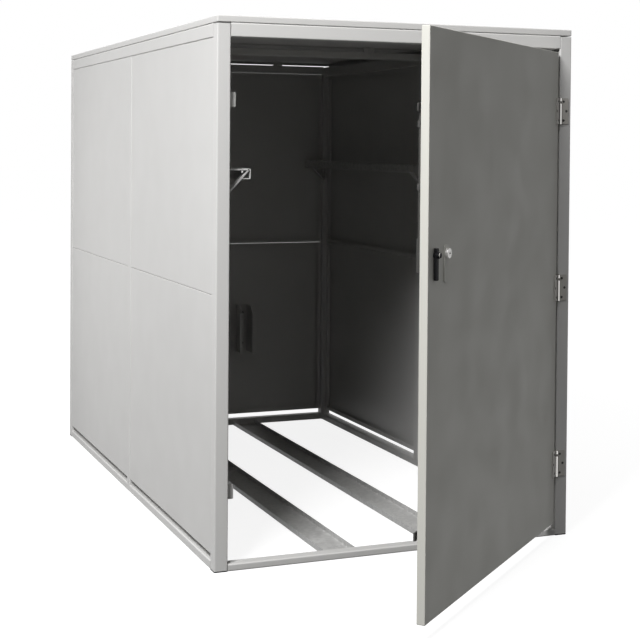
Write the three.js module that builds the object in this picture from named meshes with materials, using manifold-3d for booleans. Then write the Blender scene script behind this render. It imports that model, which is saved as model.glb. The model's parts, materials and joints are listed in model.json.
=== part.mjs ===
// Bicycle locker: a steel tube frame clad in folded sheet panels, with a floor of two wheel channels,
// a hinged door that stands open, and a latch whose handle drives two rods through a rack and pinion.
//
// Millimetres. +X runs to the right along the front, +Y to the back and +Z up. The origin is the middle
// of the front sill's underside, on the ground. The door's own pieces are drawn closed, in a group that
// turns on the hinge pins.

import * as THREE from 'three';
import { mergeVertices } from 'three/addons/utils/BufferGeometryUtils.js';
import Module from 'manifold-3d';

const wasm = await Module();
wasm.setup();

// Driving dimensions of the whole locker
const frameWidth = 1140;
const frameDepth = 1990;
const postHeight = 1540;
const doorOpenAngle = THREE.MathUtils.degToRad(41.75);

// Square tube of the frame
const tubeSide = 40;
const tubeWall = 2;
const tubeCorner = 4;
const sillHeight = 20;
const baseRailHeight = 25;
const topRailHeight = 40;
const rearRailHeight = 32;
const crossRailHeight = 25;
const roofRailRise = 2;

// Gaps between pieces
const weldGap = 0.3;
const seatGap = 0.3;
const runGap = 0.4;
const cutOverrun = 5;

// Foot caps under the corner posts
const capFlange = 3;
const capPlugDepth = 18;

// Sheet panels of the walls
const panelSheet = 1.5;
const panelDepth = 20;
const panelLip = 14;
const panelSetback = 1;
const panelSideGap = 0.5;
const ventSlot = 19;
const rearPanelSlot = 1.5;
const panelJointHeight = 776;
const panelJointGap = 3.5;

// Roof sheets and their clips
const roofHeight = 20;
const roofSheet = 1.5;
const roofHem = 6;
const roofRearHem = 13;
const roofSeat = 0.5;
const roofJointGap = 1.2;
const clipOffset = 316;
const clipWidth = 40;
const clipDepth = 14;
const clipSheet = 2.5;
const clipTabWidth = 15;
const clipTabDrop = 13;

// Wheel channels on the ground and wheel holders on the rear wall
const trackOffset = 172;
const channelWidth = 100;
const channelHeight = 17;
const channelSheet = 2;
const channelEndGap = 0.5;
const holderSlot = 43;
const holderReach = 63;
const holderSheet = 3;
const holderLip = 9;
const holderBottom = 312;
const holderHeight = 200;
const holderChamfer = 30;

// Side rails at handlebar height and their brackets
const sideRailOffset = 114.5;
const sideRailTop = 1132;
const sideRailHeight = 30;
const sideRailFlange = 30;
const sideRailSheet = 2.5;
const sideRailSetback = 15;
const bracketWidth = 25;
const bracketSheet = 4;
const bracketDrop = 82;
const bracketFoot = 18;

// Door leaf
const doorSideGap = 7;
const doorBottomGap = 21;
const doorTopGap = 11;
const doorDepth = 22.5;
const doorSheet = 1.5;
const doorLip = 12;
const stiffenerHeight = 60;
const stileWidth = 136;

// Hinges
const hingeTopInset = 179;
const hingeBottomInset = 183;
const hingeHeight = 80;
const leafThickness = 2.5;
const leafReach = 24;
const barrelRadius = 5;
const pinRadius = 3;
const pinGap = 0.3;
const knuckleGap = 0.6;
const lowerKnuckleShare = 0.83;
const pinHeadHeight = 2;
const screwHoleRadius = 2.4;
const screwSpread = 29;
const screwStagger = 5;

// Handle
const handleHeight = 935;
const leverInset = 40;
const leverLift = 1.5;
const leverWidth = 14.5;
const leverDepth = 7;
const leverAbove = 17;
const leverBelow = 62;
const leverCorner = 4;
const bossRadius = 9.5;
const bossHeight = 8.5;
const spindleSide = 8;

// Key cylinder and its plate
const cylinderInset = 116;
const plateWidth = 28;
const plateAbove = 21;
const plateBelow = 72;
const plateThickness = 2;
const plateCorner = 6;
const cylinderHeadRadius = 12.75;
const cylinderHeadDepth = 8.3;
const cylinderHeadBevel = 1.2;
const cylinderBodyRadius = 9.5;
const plugRadius = 5.5;
const keywayWidth = 2;
const keywayHeight = 8;
const keywayDepth = 12;
const camHubRadius = 6.5;
const camTipWidth = 6;
const camThickness = 3;

// Rack and pinion, latch rods and keepers
const gearModule = 2;
const pinionTeeth = 12;
const pressureAngle = THREE.MathUtils.degToRad(20);
const rackAddendumShare = 0.65;
const toothClearShare = 0.25;
const backlash = 0.45;
const rodThickness = 5;
const rodWidth = 10;
const fingerHeight = 20;
const fingerTipInset = 3;
const fingerToKeeper = 2;
const rackEndMargin = 12;
const lugReach = 7;
const lugOverlap = 1.5;
const lugClearance = 0.6;
const keeperHeight = 42;
const keeperReach = 22.7;
const keeperSheet = 3;
const keeperStopGap = 2.5;
const keeperTopInset = 163;
const keeperBottomInset = 178;
const caseSheet = 2;
const caseHeight = 84;
const caseWallHeight = 15;
const caseWindowMargin = 8;
const guideSheet = 2;
const guideHeight = 16;
const guideFoot = 8;
const guideShares = [0.1, 0.6];

// Facets of round pieces
const roundSides = 32;
const smallSides = 20;
const cornerSteps = 3;
const flankSteps = 3;

// Places worked out from the sizes above
const halfWidth = frameWidth / 2;
const frontY = -tubeSide / 2;
const backY = frontY + frameDepth;
const midY = (frontY + backY) / 2;
const clearHalf = halfWidth - tubeSide;
const roofTop = postHeight + roofHeight;
const roofRailTop = postHeight + roofRailRise;
const panelBottom = baseRailHeight + ventSlot;
const sidePanelTop = postHeight - topRailHeight - panelSideGap;
const rearPanelTop = roofRailTop - rearRailHeight - rearPanelSlot;
const panelInnerY = backY - panelSetback - panelDepth;

// The door's places, measured with the door closed
const doorLeft = -clearHalf + doorSideGap;
const doorRight = clearHalf - doorSideGap;
const doorBottom = sillHeight + doorBottomGap;
const doorTop = postHeight - topRailHeight - doorTopGap;
const doorInnerY = frontY + doorDepth;
const hingeX = clearHalf;
const hingeY = frontY - seatGap - barrelRadius;
const leverX = doorLeft + leverInset;
const cylinderX = doorLeft + cylinderInset;

// The latch's places, measured with the door closed
const pitchRadius = gearModule * pinionTeeth / 2;
const toothPitch = Math.PI * gearModule;
const latchTravel = pitchRadius * Math.PI / 2;
const rackAddendum = gearModule * rackAddendumShare;
const rackDedendum = gearModule * (1 + toothClearShare);
const pinionDedendum = gearModule * (rackAddendumShare + toothClearShare);
const keeperY = doorInnerY + keeperStopGap;
const rodY = keeperY + keeperSheet + runGap * 2;
const rodBackY = rodY + rodThickness;
const stileY = doorInnerY - doorSheet - seatGap;
const upperRodX = leverX - pitchRadius - rackDedendum;
const lowerRodX = leverX + pitchRadius + rackDedendum;
const spindleHoleRadius = spindleSide * Math.SQRT1_2 + runGap;

// The cam swings down beside the lower rod's lug. Unlocked, the lug stands above all that the cam sweeps.
const lugTip = lowerRodX + rodWidth + lugReach;
const camReach = cylinderX - lugTip + lugOverlap;
const camSweep = Math.sqrt(camReach ** 2 - (camReach - lugOverlap) ** 2);
const lugBottom = handleHeight + camSweep + lugClearance;
const lugHeight = latchTravel - camSweep - camTipWidth / 2 - 2 * lugClearance;

// Heights that follow the door: the hinges, the keepers, the rods' fingers and the ends of the gear case
const hingeLow = doorBottom + hingeBottomInset;
const hingeHigh = doorTop - hingeTopInset;
const hingeMiddles = [hingeLow, (hingeLow + hingeHigh) / 2, hingeHigh];
const keeperLow = doorBottom + keeperBottomInset;
const keeperHigh = doorTop - keeperTopInset;
const lowerRodBottom = keeperLow + keeperHeight / 2 + fingerToKeeper;
const upperRodTop = keeperHigh - keeperHeight / 2 - fingerToKeeper;
const caseBottom = handleHeight - caseHeight / 2;
const caseTop = handleHeight + caseHeight / 2;

const locker = new THREE.Group();
const doorGroup = new THREE.Group();

// Materials

function paint(color, roughness) {
  return new THREE.MeshStandardMaterial({ color, roughness, metalness: 0.1 });
}

function metal(color, roughness) {
  return new THREE.MeshStandardMaterial({ color, roughness, metalness: 0.9 });
}

function plastic(color, roughness) {
  return new THREE.MeshStandardMaterial({ color, roughness, metalness: 0 });
}

const framePaint = () => paint(0xc3c4c1, 0.45);
const panelPaint = () => paint(0xbfc0bd, 0.5);
const doorPaint = () => paint(0xb9bab7, 0.48);
const galvanised = () => metal(0xa9adb0, 0.5);
const hingeSteel = () => metal(0x8d8f90, 0.45);
const brightSteel = () => metal(0xc8c9ca, 0.25);
const blackPlastic = () => plastic(0x1a1a1b, 0.5);

// Adding a piece to a group

function place(group, name, geometry, material) {
  const mesh = new THREE.Mesh(geometry, material);
  mesh.name = name;
  group.add(mesh);
  return mesh;
}

// Cutting and joining

function solidOf(geometry) {
  const bare = geometry.clone();
  bare.deleteAttribute('normal');
  bare.deleteAttribute('uv');
  const merged = mergeVertices(bare);
  const vertProperties = new Float32Array(merged.attributes.position.array);
  const triVerts = new Uint32Array(merged.index.array);
  return new wasm.Manifold(new wasm.Mesh({ numProp: 3, vertProperties, triVerts }));
}

function geometryOf(solid) {
  const mesh = solid.getMesh();
  const geometry = new THREE.BufferGeometry();
  geometry.setAttribute('position', new THREE.BufferAttribute(new Float32Array(mesh.vertProperties), 3));
  geometry.setIndex(new THREE.BufferAttribute(new Uint32Array(mesh.triVerts), 1));
  geometry.computeVertexNormals();
  return geometry;
}

function cut(geometry, ...tools) {
  let solid = solidOf(geometry);
  for (const tool of tools) {
    solid = solid.subtract(solidOf(tool));
  }
  return geometryOf(solid);
}

function join(...geometries) {
  let solid = solidOf(geometries[0]);
  for (const piece of geometries.slice(1)) {
    solid = solid.add(solidOf(piece));
  }
  return geometryOf(solid);
}

// Basic shapes

function block(lowX, highX, lowY, highY, lowZ, highZ) {
  const geometry = new THREE.BoxGeometry(highX - lowX, highY - lowY, highZ - lowZ);
  return geometry.translate((lowX + highX) / 2, (lowY + highY) / 2, (lowZ + highZ) / 2);
}

function extrudeUp(shape, length, curveSegments = cornerSteps) {
  return new THREE.ExtrudeGeometry(shape, { depth: length, bevelEnabled: false, curveSegments });
}

const axisX = new THREE.Vector3(1, 0, 0);
const axisY = new THREE.Vector3(0, 1, 0);
const axisZ = new THREE.Vector3(0, 0, 1);
const alongX = new THREE.Matrix4().makeBasis(axisY, axisZ, axisX);
const alongY = new THREE.Matrix4().makeBasis(axisZ, axisX, axisY);
const throughY = new THREE.Matrix4().makeBasis(axisX, axisZ, axisY.clone().negate());

// A rounded rectangle about the origin, drawn one way round for an outline and the other for a hole
function roundedRectangle(path, width, height, corner) {
  const x = width / 2;
  const y = height / 2;
  path.moveTo(-x + corner, -y);
  path.lineTo(x - corner, -y);
  path.absarc(x - corner, -y + corner, corner, -Math.PI / 2, 0, false);
  path.lineTo(x, y - corner);
  path.absarc(x - corner, y - corner, corner, 0, Math.PI / 2, false);
  path.lineTo(-x + corner, y);
  path.absarc(-x + corner, y - corner, corner, Math.PI / 2, Math.PI, false);
  path.lineTo(-x, -y + corner);
  path.absarc(-x + corner, -y + corner, corner, Math.PI, Math.PI * 1.5, false);
  path.closePath();
  return path;
}

function tubeSection(width, height) {
  const corner = Math.min(tubeCorner, width / 4, height / 4);
  const shape = roundedRectangle(new THREE.Shape(), width, height, corner);
  const innerWidth = width - 2 * tubeWall;
  const innerHeight = height - 2 * tubeWall;
  const innerCorner = Math.max(corner - tubeWall, corner / 4);
  shape.holes.push(roundedRectangle(new THREE.Path(), innerWidth, innerHeight, innerCorner));
  return shape;
}

// A rail along X, with its section in Y and Z
function railAlongX(lowX, highX, y, lowZ, width, height) {
  const geometry = extrudeUp(tubeSection(width, height), highX - lowX).applyMatrix4(alongX);
  return geometry.translate(lowX, y, lowZ + height / 2);
}

// A rail along Y, with its section in Z and X
function railAlongY(lowY, highY, x, lowZ, width, height) {
  const geometry = extrudeUp(tubeSection(height, width), highY - lowY).applyMatrix4(alongY);
  return geometry.translate(x, lowY, lowZ + height / 2);
}

// A cylinder whose axis runs along Y, from lowY to highY
function roundAlongY(radius, x, lowY, highY, z, sides) {
  const geometry = new THREE.CylinderGeometry(radius, radius, highY - lowY, sides);
  return geometry.translate(x, (lowY + highY) / 2, z);
}

// A cylinder whose axis runs along Z
function roundAlongZ(radius, x, y, lowZ, highZ, sides) {
  const geometry = new THREE.CylinderGeometry(radius, radius, highZ - lowZ, sides).rotateX(Math.PI / 2);
  return geometry.translate(x, y, (lowZ + highZ) / 2);
}

// The same piece on the other side of the middle plane, with its faces turned back outwards
function mirrored(geometry) {
  const copy = geometry.clone().scale(-1, 1, 1);
  copy.setIndex(Array.from(copy.index.array).reverse());
  copy.computeVertexNormals();
  return copy;
}

// Outlines drawn as seen from the front, x and z, and extruded from lowY to highY
function plateFromFront(shape, lowY, highY) {
  return extrudeUp(shape, highY - lowY).applyMatrix4(throughY).translate(0, highY, 0);
}

function polygon(points) {
  const shape = new THREE.Shape();
  shape.setFromPoints(points.map(([x, y]) => new THREE.Vector2(x, y)));
  return shape;
}

// Folded sheet: an open tray with a return lip round its mouth. Its mouth faces along mouthSign.
function trayAlongX(outerX, mouthSign, lowY, highY, lowZ, highZ, depth, sheet, lip) {
  const mouthX = outerX + mouthSign * depth;
  const cavity = [outerX + mouthSign * sheet, mouthX - mouthSign * sheet].sort((a, b) => a - b);
  const mouth = [outerX + mouthSign * depth / 2, mouthX + mouthSign * cutOverrun].sort((a, b) => a - b);
  const shell = [outerX, mouthX].sort((a, b) => a - b);
  return cut(
    block(...shell, lowY, highY, lowZ, highZ),
    block(...cavity, lowY + sheet, highY - sheet, lowZ + sheet, highZ - sheet),
    block(...mouth, lowY + lip, highY - lip, lowZ + lip, highZ - lip),
  );
}

function trayAlongY(outerY, mouthSign, lowX, highX, lowZ, highZ, depth, sheet, lip) {
  const mouthY = outerY + mouthSign * depth;
  const cavity = [outerY + mouthSign * sheet, mouthY - mouthSign * sheet].sort((a, b) => a - b);
  const mouth = [outerY + mouthSign * depth / 2, mouthY + mouthSign * cutOverrun].sort((a, b) => a - b);
  const shell = [outerY, mouthY].sort((a, b) => a - b);
  return cut(
    block(lowX, highX, ...shell, lowZ, highZ),
    block(lowX + sheet, highX - sheet, ...cavity, lowZ + sheet, highZ - sheet),
    block(lowX + lip, highX - lip, ...mouth, lowZ + lip, highZ - lip),
  );
}

const sides = [['left', -1], ['right', 1]];
const postPlaces = [['front', frontY + tubeSide / 2], ['mid', midY], ['rear', backY - tubeSide / 2]];
const bays = [
  ['front', frontY + tubeSide, midY - tubeSide / 2],
  ['rear', midY + tubeSide / 2, backY - tubeSide],
];

// Frame: the corner posts stand on foot caps, and the middle posts between the long rails

function buildPosts() {
  for (const [end, y] of postPlaces) {
    const low = end === 'mid' ? baseRailHeight + weldGap : capFlange + weldGap;
    const high = end === 'mid' ? postHeight - topRailHeight - weldGap : postHeight;
    for (const [side, sign] of sides) {
      const geometry = extrudeUp(tubeSection(tubeSide, tubeSide), high - low);
      geometry.translate(sign * (halfWidth - tubeSide / 2), y, low);
      place(locker, `post_${end}_${side}`, geometry, framePaint());
    }
  }
}

function buildFootCaps() {
  const plugSide = tubeSide - 2 * tubeWall - 2 * weldGap;
  const flange = roundedRectangle(new THREE.Shape(), tubeSide, tubeSide, tubeCorner);
  const plug = roundedRectangle(new THREE.Shape(), plugSide, plugSide, tubeCorner - tubeWall);
  const cap = join(extrudeUp(flange, capFlange), extrudeUp(plug, capFlange + capPlugDepth));
  for (const [end, y] of postPlaces.filter(([name]) => name !== 'mid')) {
    for (const [side, sign] of sides) {
      const geometry = cap.clone().translate(sign * (halfWidth - tubeSide / 2), y, 0);
      place(locker, `foot_cap_${end}_${side}`, geometry, blackPlastic());
    }
  }
}

// Frame: rails across the front, the back and the middle

// A roof clip on a rail whose middle lies at y: a folded channel under the roof with two tabs that
// hook over the rail's front face. It is welded on, so it shares half of the tube's wall.
function roofClip(x, y) {
  const front = y - tubeSide / 2 - clipSheet;
  const back = front + clipDepth;
  const low = roofRailTop - tubeWall / 2;
  const high = roofTop - roofSheet - seatGap;
  const channel = extrudeUp(polygon([
    [front, low],
    [back, low],
    [back, low + clipSheet],
    [front + clipSheet, low + clipSheet],
    [front + clipSheet, high - clipSheet],
    [back, high - clipSheet],
    [back, high],
    [front, high],
  ]), clipWidth).applyMatrix4(alongX).translate(x - clipWidth / 2, 0, 0);
  const tabs = [x - clipWidth / 2, x + clipWidth / 2 - clipTabWidth].map((start) => {
    const wall = front + clipSheet + tubeWall / 2;
    return block(start, start + clipTabWidth, front, wall, low - clipTabDrop, low + clipSheet);
  });
  return join(channel, ...tabs);
}

function buildCrossRails() {
  const low = -clearHalf + weldGap;
  const high = clearHalf - weldGap;
  const frontMiddle = frontY + tubeSide / 2;
  const rearMiddle = backY - tubeSide / 2;
  const lintelBottom = postHeight - topRailHeight;
  const rearRailBottom = roofRailTop - rearRailHeight;
  const crossRailBottom = roofRailTop - crossRailHeight;
  const clipsAt = (y) => sides.map(([, sign]) => roofClip(sign * clipOffset, y));
  const sill = railAlongX(low, high, frontMiddle, 0, tubeSide, sillHeight);
  const lintel = railAlongX(low, high, frontMiddle, lintelBottom, tubeSide, topRailHeight);
  const baseRear = railAlongX(low, high, rearMiddle, 0, tubeSide, baseRailHeight);
  const topRear = railAlongX(low, high, rearMiddle, rearRailBottom, tubeSide, rearRailHeight);
  const cross = railAlongX(low, high, midY, crossRailBottom, tubeSide, crossRailHeight);
  place(locker, 'sill_front', sill, framePaint());
  place(locker, 'lintel_front', lintel, framePaint());
  place(locker, 'base_rail_rear', baseRear, framePaint());
  place(locker, 'top_rail_rear', join(topRear, ...clipsAt(rearMiddle)), framePaint());
  place(locker, 'cross_rail_mid', join(cross, ...clipsAt(midY)), framePaint());
}

function buildSideTubes() {
  const lowY = frontY + tubeSide + weldGap;
  const highY = backY - tubeSide - weldGap;
  for (const [side, sign] of sides) {
    const x = sign * (halfWidth - tubeSide / 2);
    const top = railAlongY(lowY, highY, x, postHeight - topRailHeight, tubeSide, topRailHeight);
    const base = railAlongY(lowY, highY, x, 0, tubeSide, baseRailHeight);
    place(locker, `top_rail_${side}`, top, framePaint());
    place(locker, `base_rail_${side}`, base, framePaint());
  }
}

// Walls: folded panels in two tiers, with a slot left open above the base rails

function tiers(top) {
  return [
    ['lower', panelBottom, panelJointHeight - panelJointGap / 2],
    ['upper', panelJointHeight + panelJointGap / 2, top],
  ];
}

function buildSidePanels() {
  for (const [side, sign] of sides) {
    const outerX = sign * (halfWidth - panelSetback);
    for (const [bay, low, high] of bays) {
      for (const [tier, bottom, top] of tiers(sidePanelTop)) {
        const lowY = low + panelSideGap;
        const highY = high - panelSideGap;
        const tray = trayAlongX(outerX, -sign, lowY, highY, bottom, top, panelDepth, panelSheet, panelLip);
        place(locker, `panel_${side}_${bay}_${tier}`, tray, panelPaint());
      }
    }
  }
}

function buildRearPanels() {
  const high = clearHalf - panelSideGap;
  for (const [tier, bottom, top] of tiers(rearPanelTop)) {
    const outerY = backY - panelSetback;
    const tray = trayAlongY(outerY, -1, -high, high, bottom, top, panelDepth, panelSheet, panelLip);
    place(locker, `panel_rear_${tier}`, tray, panelPaint());
  }
}

// Roof: two folded sheets that meet over the middle rail. An end in the list of hems has only a short
// fold down to the hem's height, so at the back a slot stays open above the rear rail.

function roofTray(lowY, highY, hems) {
  const bottom = postHeight + roofSeat;
  const inner = halfWidth - roofSheet;
  const shell = block(-halfWidth, halfWidth, lowY, highY, bottom, roofTop);
  const hollow = block(
    -inner,
    inner,
    lowY + roofSheet,
    highY - roofSheet,
    bottom - cutOverrun,
    roofTop - roofSheet,
  );
  const trims = hems.map(([edge, way, hem]) => {
    const ends = [edge - way * cutOverrun, edge + way * (roofSheet + cutOverrun)].sort((a, b) => a - b);
    return block(-inner, inner, ...ends, bottom - cutOverrun, hem);
  });
  return cut(shell, hollow, ...trims);
}

function buildRoof() {
  const hem = roofTop - roofHem;
  const rearHem = roofTop - roofRearHem;
  const frontEnd = midY - roofJointGap / 2;
  const rearStart = midY + roofJointGap / 2;
  const front = roofTray(frontY, frontEnd, [[frontEnd, -1, hem]]);
  const rear = roofTray(rearStart, backY, [[rearStart, 1, hem], [backY, -1, rearHem]]);
  place(locker, 'roof_front', front, panelPaint());
  place(locker, 'roof_rear', rear, panelPaint());
}

// Floor: two open channels for the wheels, between the sill and the rear rail

function buildWheelChannels() {
  const lowY = frontY + tubeSide + channelEndGap;
  const highY = backY - tubeSide - channelEndGap;
  for (const [side, sign] of sides) {
    const half = channelWidth / 2;
    const inner = half - channelSheet;
    const shape = polygon([
      [-half, 0],
      [half, 0],
      [half, channelHeight],
      [inner, channelHeight],
      [inner, channelSheet],
      [-inner, channelSheet],
      [-inner, channelHeight],
      [-half, channelHeight],
    ]);
    const geometry = plateFromFront(shape, lowY, highY).translate(sign * trackOffset, 0, 0);
    place(locker, `wheel_channel_${side}`, geometry, galvanised());
  }
}

// Wheel holders: upright hat sections on the rear wall that take the tyre between their two plates

function buildWheelHolders() {
  const back = backY - panelSetback - panelSheet - seatGap;
  const front = panelInnerY - holderReach;
  const inner = holderSlot / 2;
  const outer = inner + holderSheet;
  const shape = polygon([
    [-outer, back],
    [-outer, front + holderSheet],
    [-outer - holderLip, front + holderSheet],
    [-outer - holderLip, front],
    [-inner, front],
    [-inner, back - holderSheet],
    [inner, back - holderSheet],
    [inner, front],
    [outer + holderLip, front],
    [outer + holderLip, front + holderSheet],
    [outer, front + holderSheet],
    [outer, back],
  ]);
  const reach = outer + holderLip + cutOverrun;
  const top = holderBottom + holderHeight;
  const hat = extrudeUp(shape, holderHeight).translate(0, 0, holderBottom);
  const corner = extrudeUp(polygon([
    [front - cutOverrun, top - holderChamfer - cutOverrun],
    [front + holderChamfer + cutOverrun, top + cutOverrun],
    [front - cutOverrun, top + cutOverrun],
  ]), 2 * reach).applyMatrix4(alongX).translate(-reach, 0, 0);
  for (const [side, sign] of sides) {
    const geometry = cut(hat, corner).translate(sign * trackOffset, 0, 0);
    place(locker, `wheel_holder_${side}`, geometry, galvanised());
  }
}

// Side rails: open channels at handlebar height, each with three triangular brackets for the posts.
// A bracket stands on the post face at y, towards the back for way +1 and towards the front for -1.

function railBracket(y, way) {
  const post = clearHalf - seatGap;
  const tip = halfWidth - sideRailOffset + sideRailSheet / 2;
  const top = sideRailTop - sideRailSheet / 2;
  const bottom = sideRailTop - bracketDrop;
  const slope = (top - bottom) / (post - tip);
  const inset = bracketSheet * (slope + Math.hypot(slope, 1));
  const innerPost = post - bracketSheet;
  const innerTop = top - bracketSheet;
  const holeWidth = (top - bottom - inset - bracketSheet) / slope;
  const shape = polygon([[post, bottom], [post, top], [tip, top]]);
  shape.holes.push(polygon([
    [innerPost, innerTop],
    [innerPost, bottom + inset],
    [innerPost - holeWidth, innerTop],
  ]));
  const near = y + way * seatGap;
  const far = near + way * bracketWidth;
  const triangle = plateFromFront(shape, Math.min(near, far), Math.max(near, far));
  const inner = near + way * bracketSheet;
  const footEnd = clearHalf + bracketFoot;
  const foot = block(innerPost, footEnd, Math.min(near, inner), Math.max(near, inner), bottom, top);
  return join(triangle, foot);
}

function buildSideRails() {
  const lowY = frontY + tubeSide + sideRailSetback;
  const highY = panelInnerY - channelEndGap;
  const bottom = sideRailTop - sideRailHeight;
  const web = halfWidth - sideRailOffset;
  const inside = web + sideRailSheet;
  const tip = web + sideRailFlange;
  const rail = plateFromFront(polygon([
    [web, bottom],
    [tip, bottom],
    [tip, bottom + sideRailSheet],
    [inside, bottom + sideRailSheet],
    [inside, sideRailTop - sideRailSheet],
    [tip, sideRailTop - sideRailSheet],
    [tip, sideRailTop],
    [web, sideRailTop],
  ]), lowY, highY);
  const right = join(
    rail,
    railBracket(frontY + tubeSide, 1),
    railBracket(midY - tubeSide / 2, -1),
    railBracket(backY - tubeSide, -1),
  );
  place(locker, 'side_rail_right', right, galvanised());
  place(locker, 'side_rail_left', mirrored(right), galvanised());
}

// Keepers: two tabs on the left front post. The closed door stops on them and the rods hook behind.

function buildKeepers() {
  const left = -clearHalf + weldGap;
  for (const [level, z] of [['lower', keeperLow], ['upper', keeperHigh]]) {
    const shape = roundedRectangle(new THREE.Shape(), keeperReach, keeperHeight, keeperSheet);
    const tab = plateFromFront(shape, keeperY, keeperY + keeperSheet);
    place(locker, `keeper_${level}`, tab.translate(left + keeperReach / 2, 0, z), framePaint());
  }
}

// Door leaf: a folded tray with holes for the spindle and the key cylinder

function lockHoles(lowY, highY) {
  const cylinderHoleRadius = cylinderBodyRadius + seatGap;
  return [
    roundAlongY(spindleHoleRadius, leverX, lowY, highY, handleHeight, smallSides),
    roundAlongY(cylinderHoleRadius, cylinderX, lowY, highY, handleHeight, roundSides),
  ];
}

function buildDoorLeaf() {
  const tray = trayAlongY(frontY, 1, doorLeft, doorRight, doorBottom, doorTop, doorDepth, doorSheet, doorLip);
  const low = frontY - cutOverrun;
  const high = frontY + doorSheet + cutOverrun;
  place(doorGroup, 'door_leaf', cut(tray, ...lockHoles(low, high)), doorPaint());
}

// Door frame: an upright channel behind the lock and three bars behind the hinges, welded together
// inside the leaf. They open towards the skin. The rod guides are welded to the upright's back.

function channelOnSkin(lowX, highX, lowZ, highZ, wallX, wallZ) {
  const skin = frontY + doorSheet + seatGap;
  return cut(
    block(lowX, highX, skin, stileY, lowZ, highZ),
    block(lowX + wallX, highX - wallX, skin - cutOverrun, stileY - doorSheet, lowZ + wallZ, highZ - wallZ),
  );
}

// A guide has one foot on the upright, a bridge over the rod and a lip at the rod's far side
function rodGuide(leftX, z) {
  const left = leftX - runGap;
  const right = leftX + rodWidth + runGap;
  const outer = right + guideSheet + guideFoot;
  const floor = stileY - doorSheet / 2;
  const seat = stileY + guideSheet;
  const lid = rodBackY + runGap;
  const shape = polygon([
    [floor, outer],
    [floor, right],
    [lid, right],
    [lid, left],
    [rodY, left],
    [rodY, left - guideSheet],
    [lid + guideSheet, left - guideSheet],
    [lid + guideSheet, right + guideSheet],
    [seat, right + guideSheet],
    [seat, outer],
  ].map(([y, x]) => [x, y]));
  return extrudeUp(shape, guideHeight).translate(0, 0, z - guideHeight / 2);
}

function buildDoorFrame() {
  const low = doorBottom + doorSheet + seatGap;
  const high = doorTop - doorSheet - seatGap;
  const left = doorLeft + doorSheet + seatGap;
  const right = left + stileWidth;
  const stile = channelOnSkin(left, right, low, high, doorSheet, -cutOverrun);
  const barLeft = right - doorSheet;
  const barRight = doorRight - doorSheet - seatGap;
  const half = stiffenerHeight / 2;
  const bars = hingeMiddles.map((z) => {
    return channelOnSkin(barLeft, barRight, z - half, z + half, -cutOverrun, doorSheet);
  });
  const lowerFinger = lowerRodBottom + fingerHeight;
  const upperFinger = upperRodTop - fingerHeight;
  const guides = guideShares.flatMap((share) => [
    rodGuide(lowerRodX, lowerFinger + (caseBottom - lowerFinger) * share),
    rodGuide(upperRodX - rodWidth, upperFinger + (caseTop - upperFinger) * share),
  ]);
  const frame = cut(join(stile, ...bars, ...guides), ...lockHoles(stileY - cutOverrun, stileY + cutOverrun));
  place(doorGroup, 'door_frame', frame, doorPaint());
}

// Hinges: a leaf on the post with the long lower knuckle, a leaf on the door with the short upper one,
// and a pin

function hingeLeaf(sign, middle, knuckleLow, knuckleHigh) {
  const low = middle - hingeHeight / 2;
  const high = middle + hingeHeight / 2;
  const outerY = frontY - seatGap;
  const near = hingeX + sign * (barrelRadius + knuckleGap);
  const far = hingeX + sign * (barrelRadius + leafReach);
  const [left, right] = near < far ? [near, far] : [far, near];
  const plate = block(left, right, outerY - leafThickness, outerY, low, high);
  const [rootLeft, rootRight] = hingeX < near ? [hingeX, near + knuckleGap] : [near - knuckleGap, hingeX];
  const root = block(rootLeft, rootRight, outerY - leafThickness, outerY, knuckleLow, knuckleHigh);
  const knuckle = roundAlongZ(barrelRadius, hingeX, hingeY, knuckleLow, knuckleHigh, smallSides);
  const bore = roundAlongZ(
    pinRadius + pinGap,
    hingeX,
    hingeY,
    knuckleLow - cutOverrun,
    knuckleHigh + cutOverrun,
    smallSides,
  );
  const column = (near + far) / 2;
  const holeFront = outerY - leafThickness - cutOverrun;
  const holes = [-1, 0, 1].map((step) => {
    const x = column + sign * (step === 0 ? screwStagger : -screwStagger);
    const z = middle + step * screwSpread;
    return roundAlongY(screwHoleRadius, x, holeFront, outerY + cutOverrun, z, smallSides);
  });
  return cut(join(plate, root, knuckle), bore, ...holes);
}

function buildHinges() {
  ['lower', 'middle', 'upper'].forEach((level, index) => {
    const middle = hingeMiddles[index];
    const low = middle - hingeHeight / 2;
    const high = middle + hingeHeight / 2;
    const headBottom = high + knuckleGap;
    const headTop = headBottom + pinHeadHeight;
    const split = low + (high - low) * lowerKnuckleShare;
    const postLeaf = hingeLeaf(1, middle, low, split - knuckleGap / 2);
    const doorLeaf = hingeLeaf(-1, middle, split + knuckleGap / 2, high);
    const shank = roundAlongZ(pinRadius, hingeX, hingeY, low, (headBottom + headTop) / 2, smallSides);
    const head = roundAlongZ(barrelRadius, hingeX, hingeY, headBottom, headTop, smallSides);
    place(locker, `hinge_post_leaf_${level}`, postLeaf, hingeSteel());
    place(locker, `hinge_pin_${level}`, join(shank, head), brightSteel());
    place(doorGroup, `hinge_door_leaf_${level}`, doorLeaf, hingeSteel());
  });
}

// Handle: a slim lever on a round boss that holds it clear of the door. Its square spindle turns the pinion.

const bossBack = frontY - seatGap;
const leverBack = bossBack - leverLift;
const leverFront = leverBack - leverDepth;
const bossFront = leverFront - bossHeight;

function squareAlongY(side, x, lowY, highY, z) {
  return block(x - side / 2, x + side / 2, lowY, highY, z - side / 2, z + side / 2);
}

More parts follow.
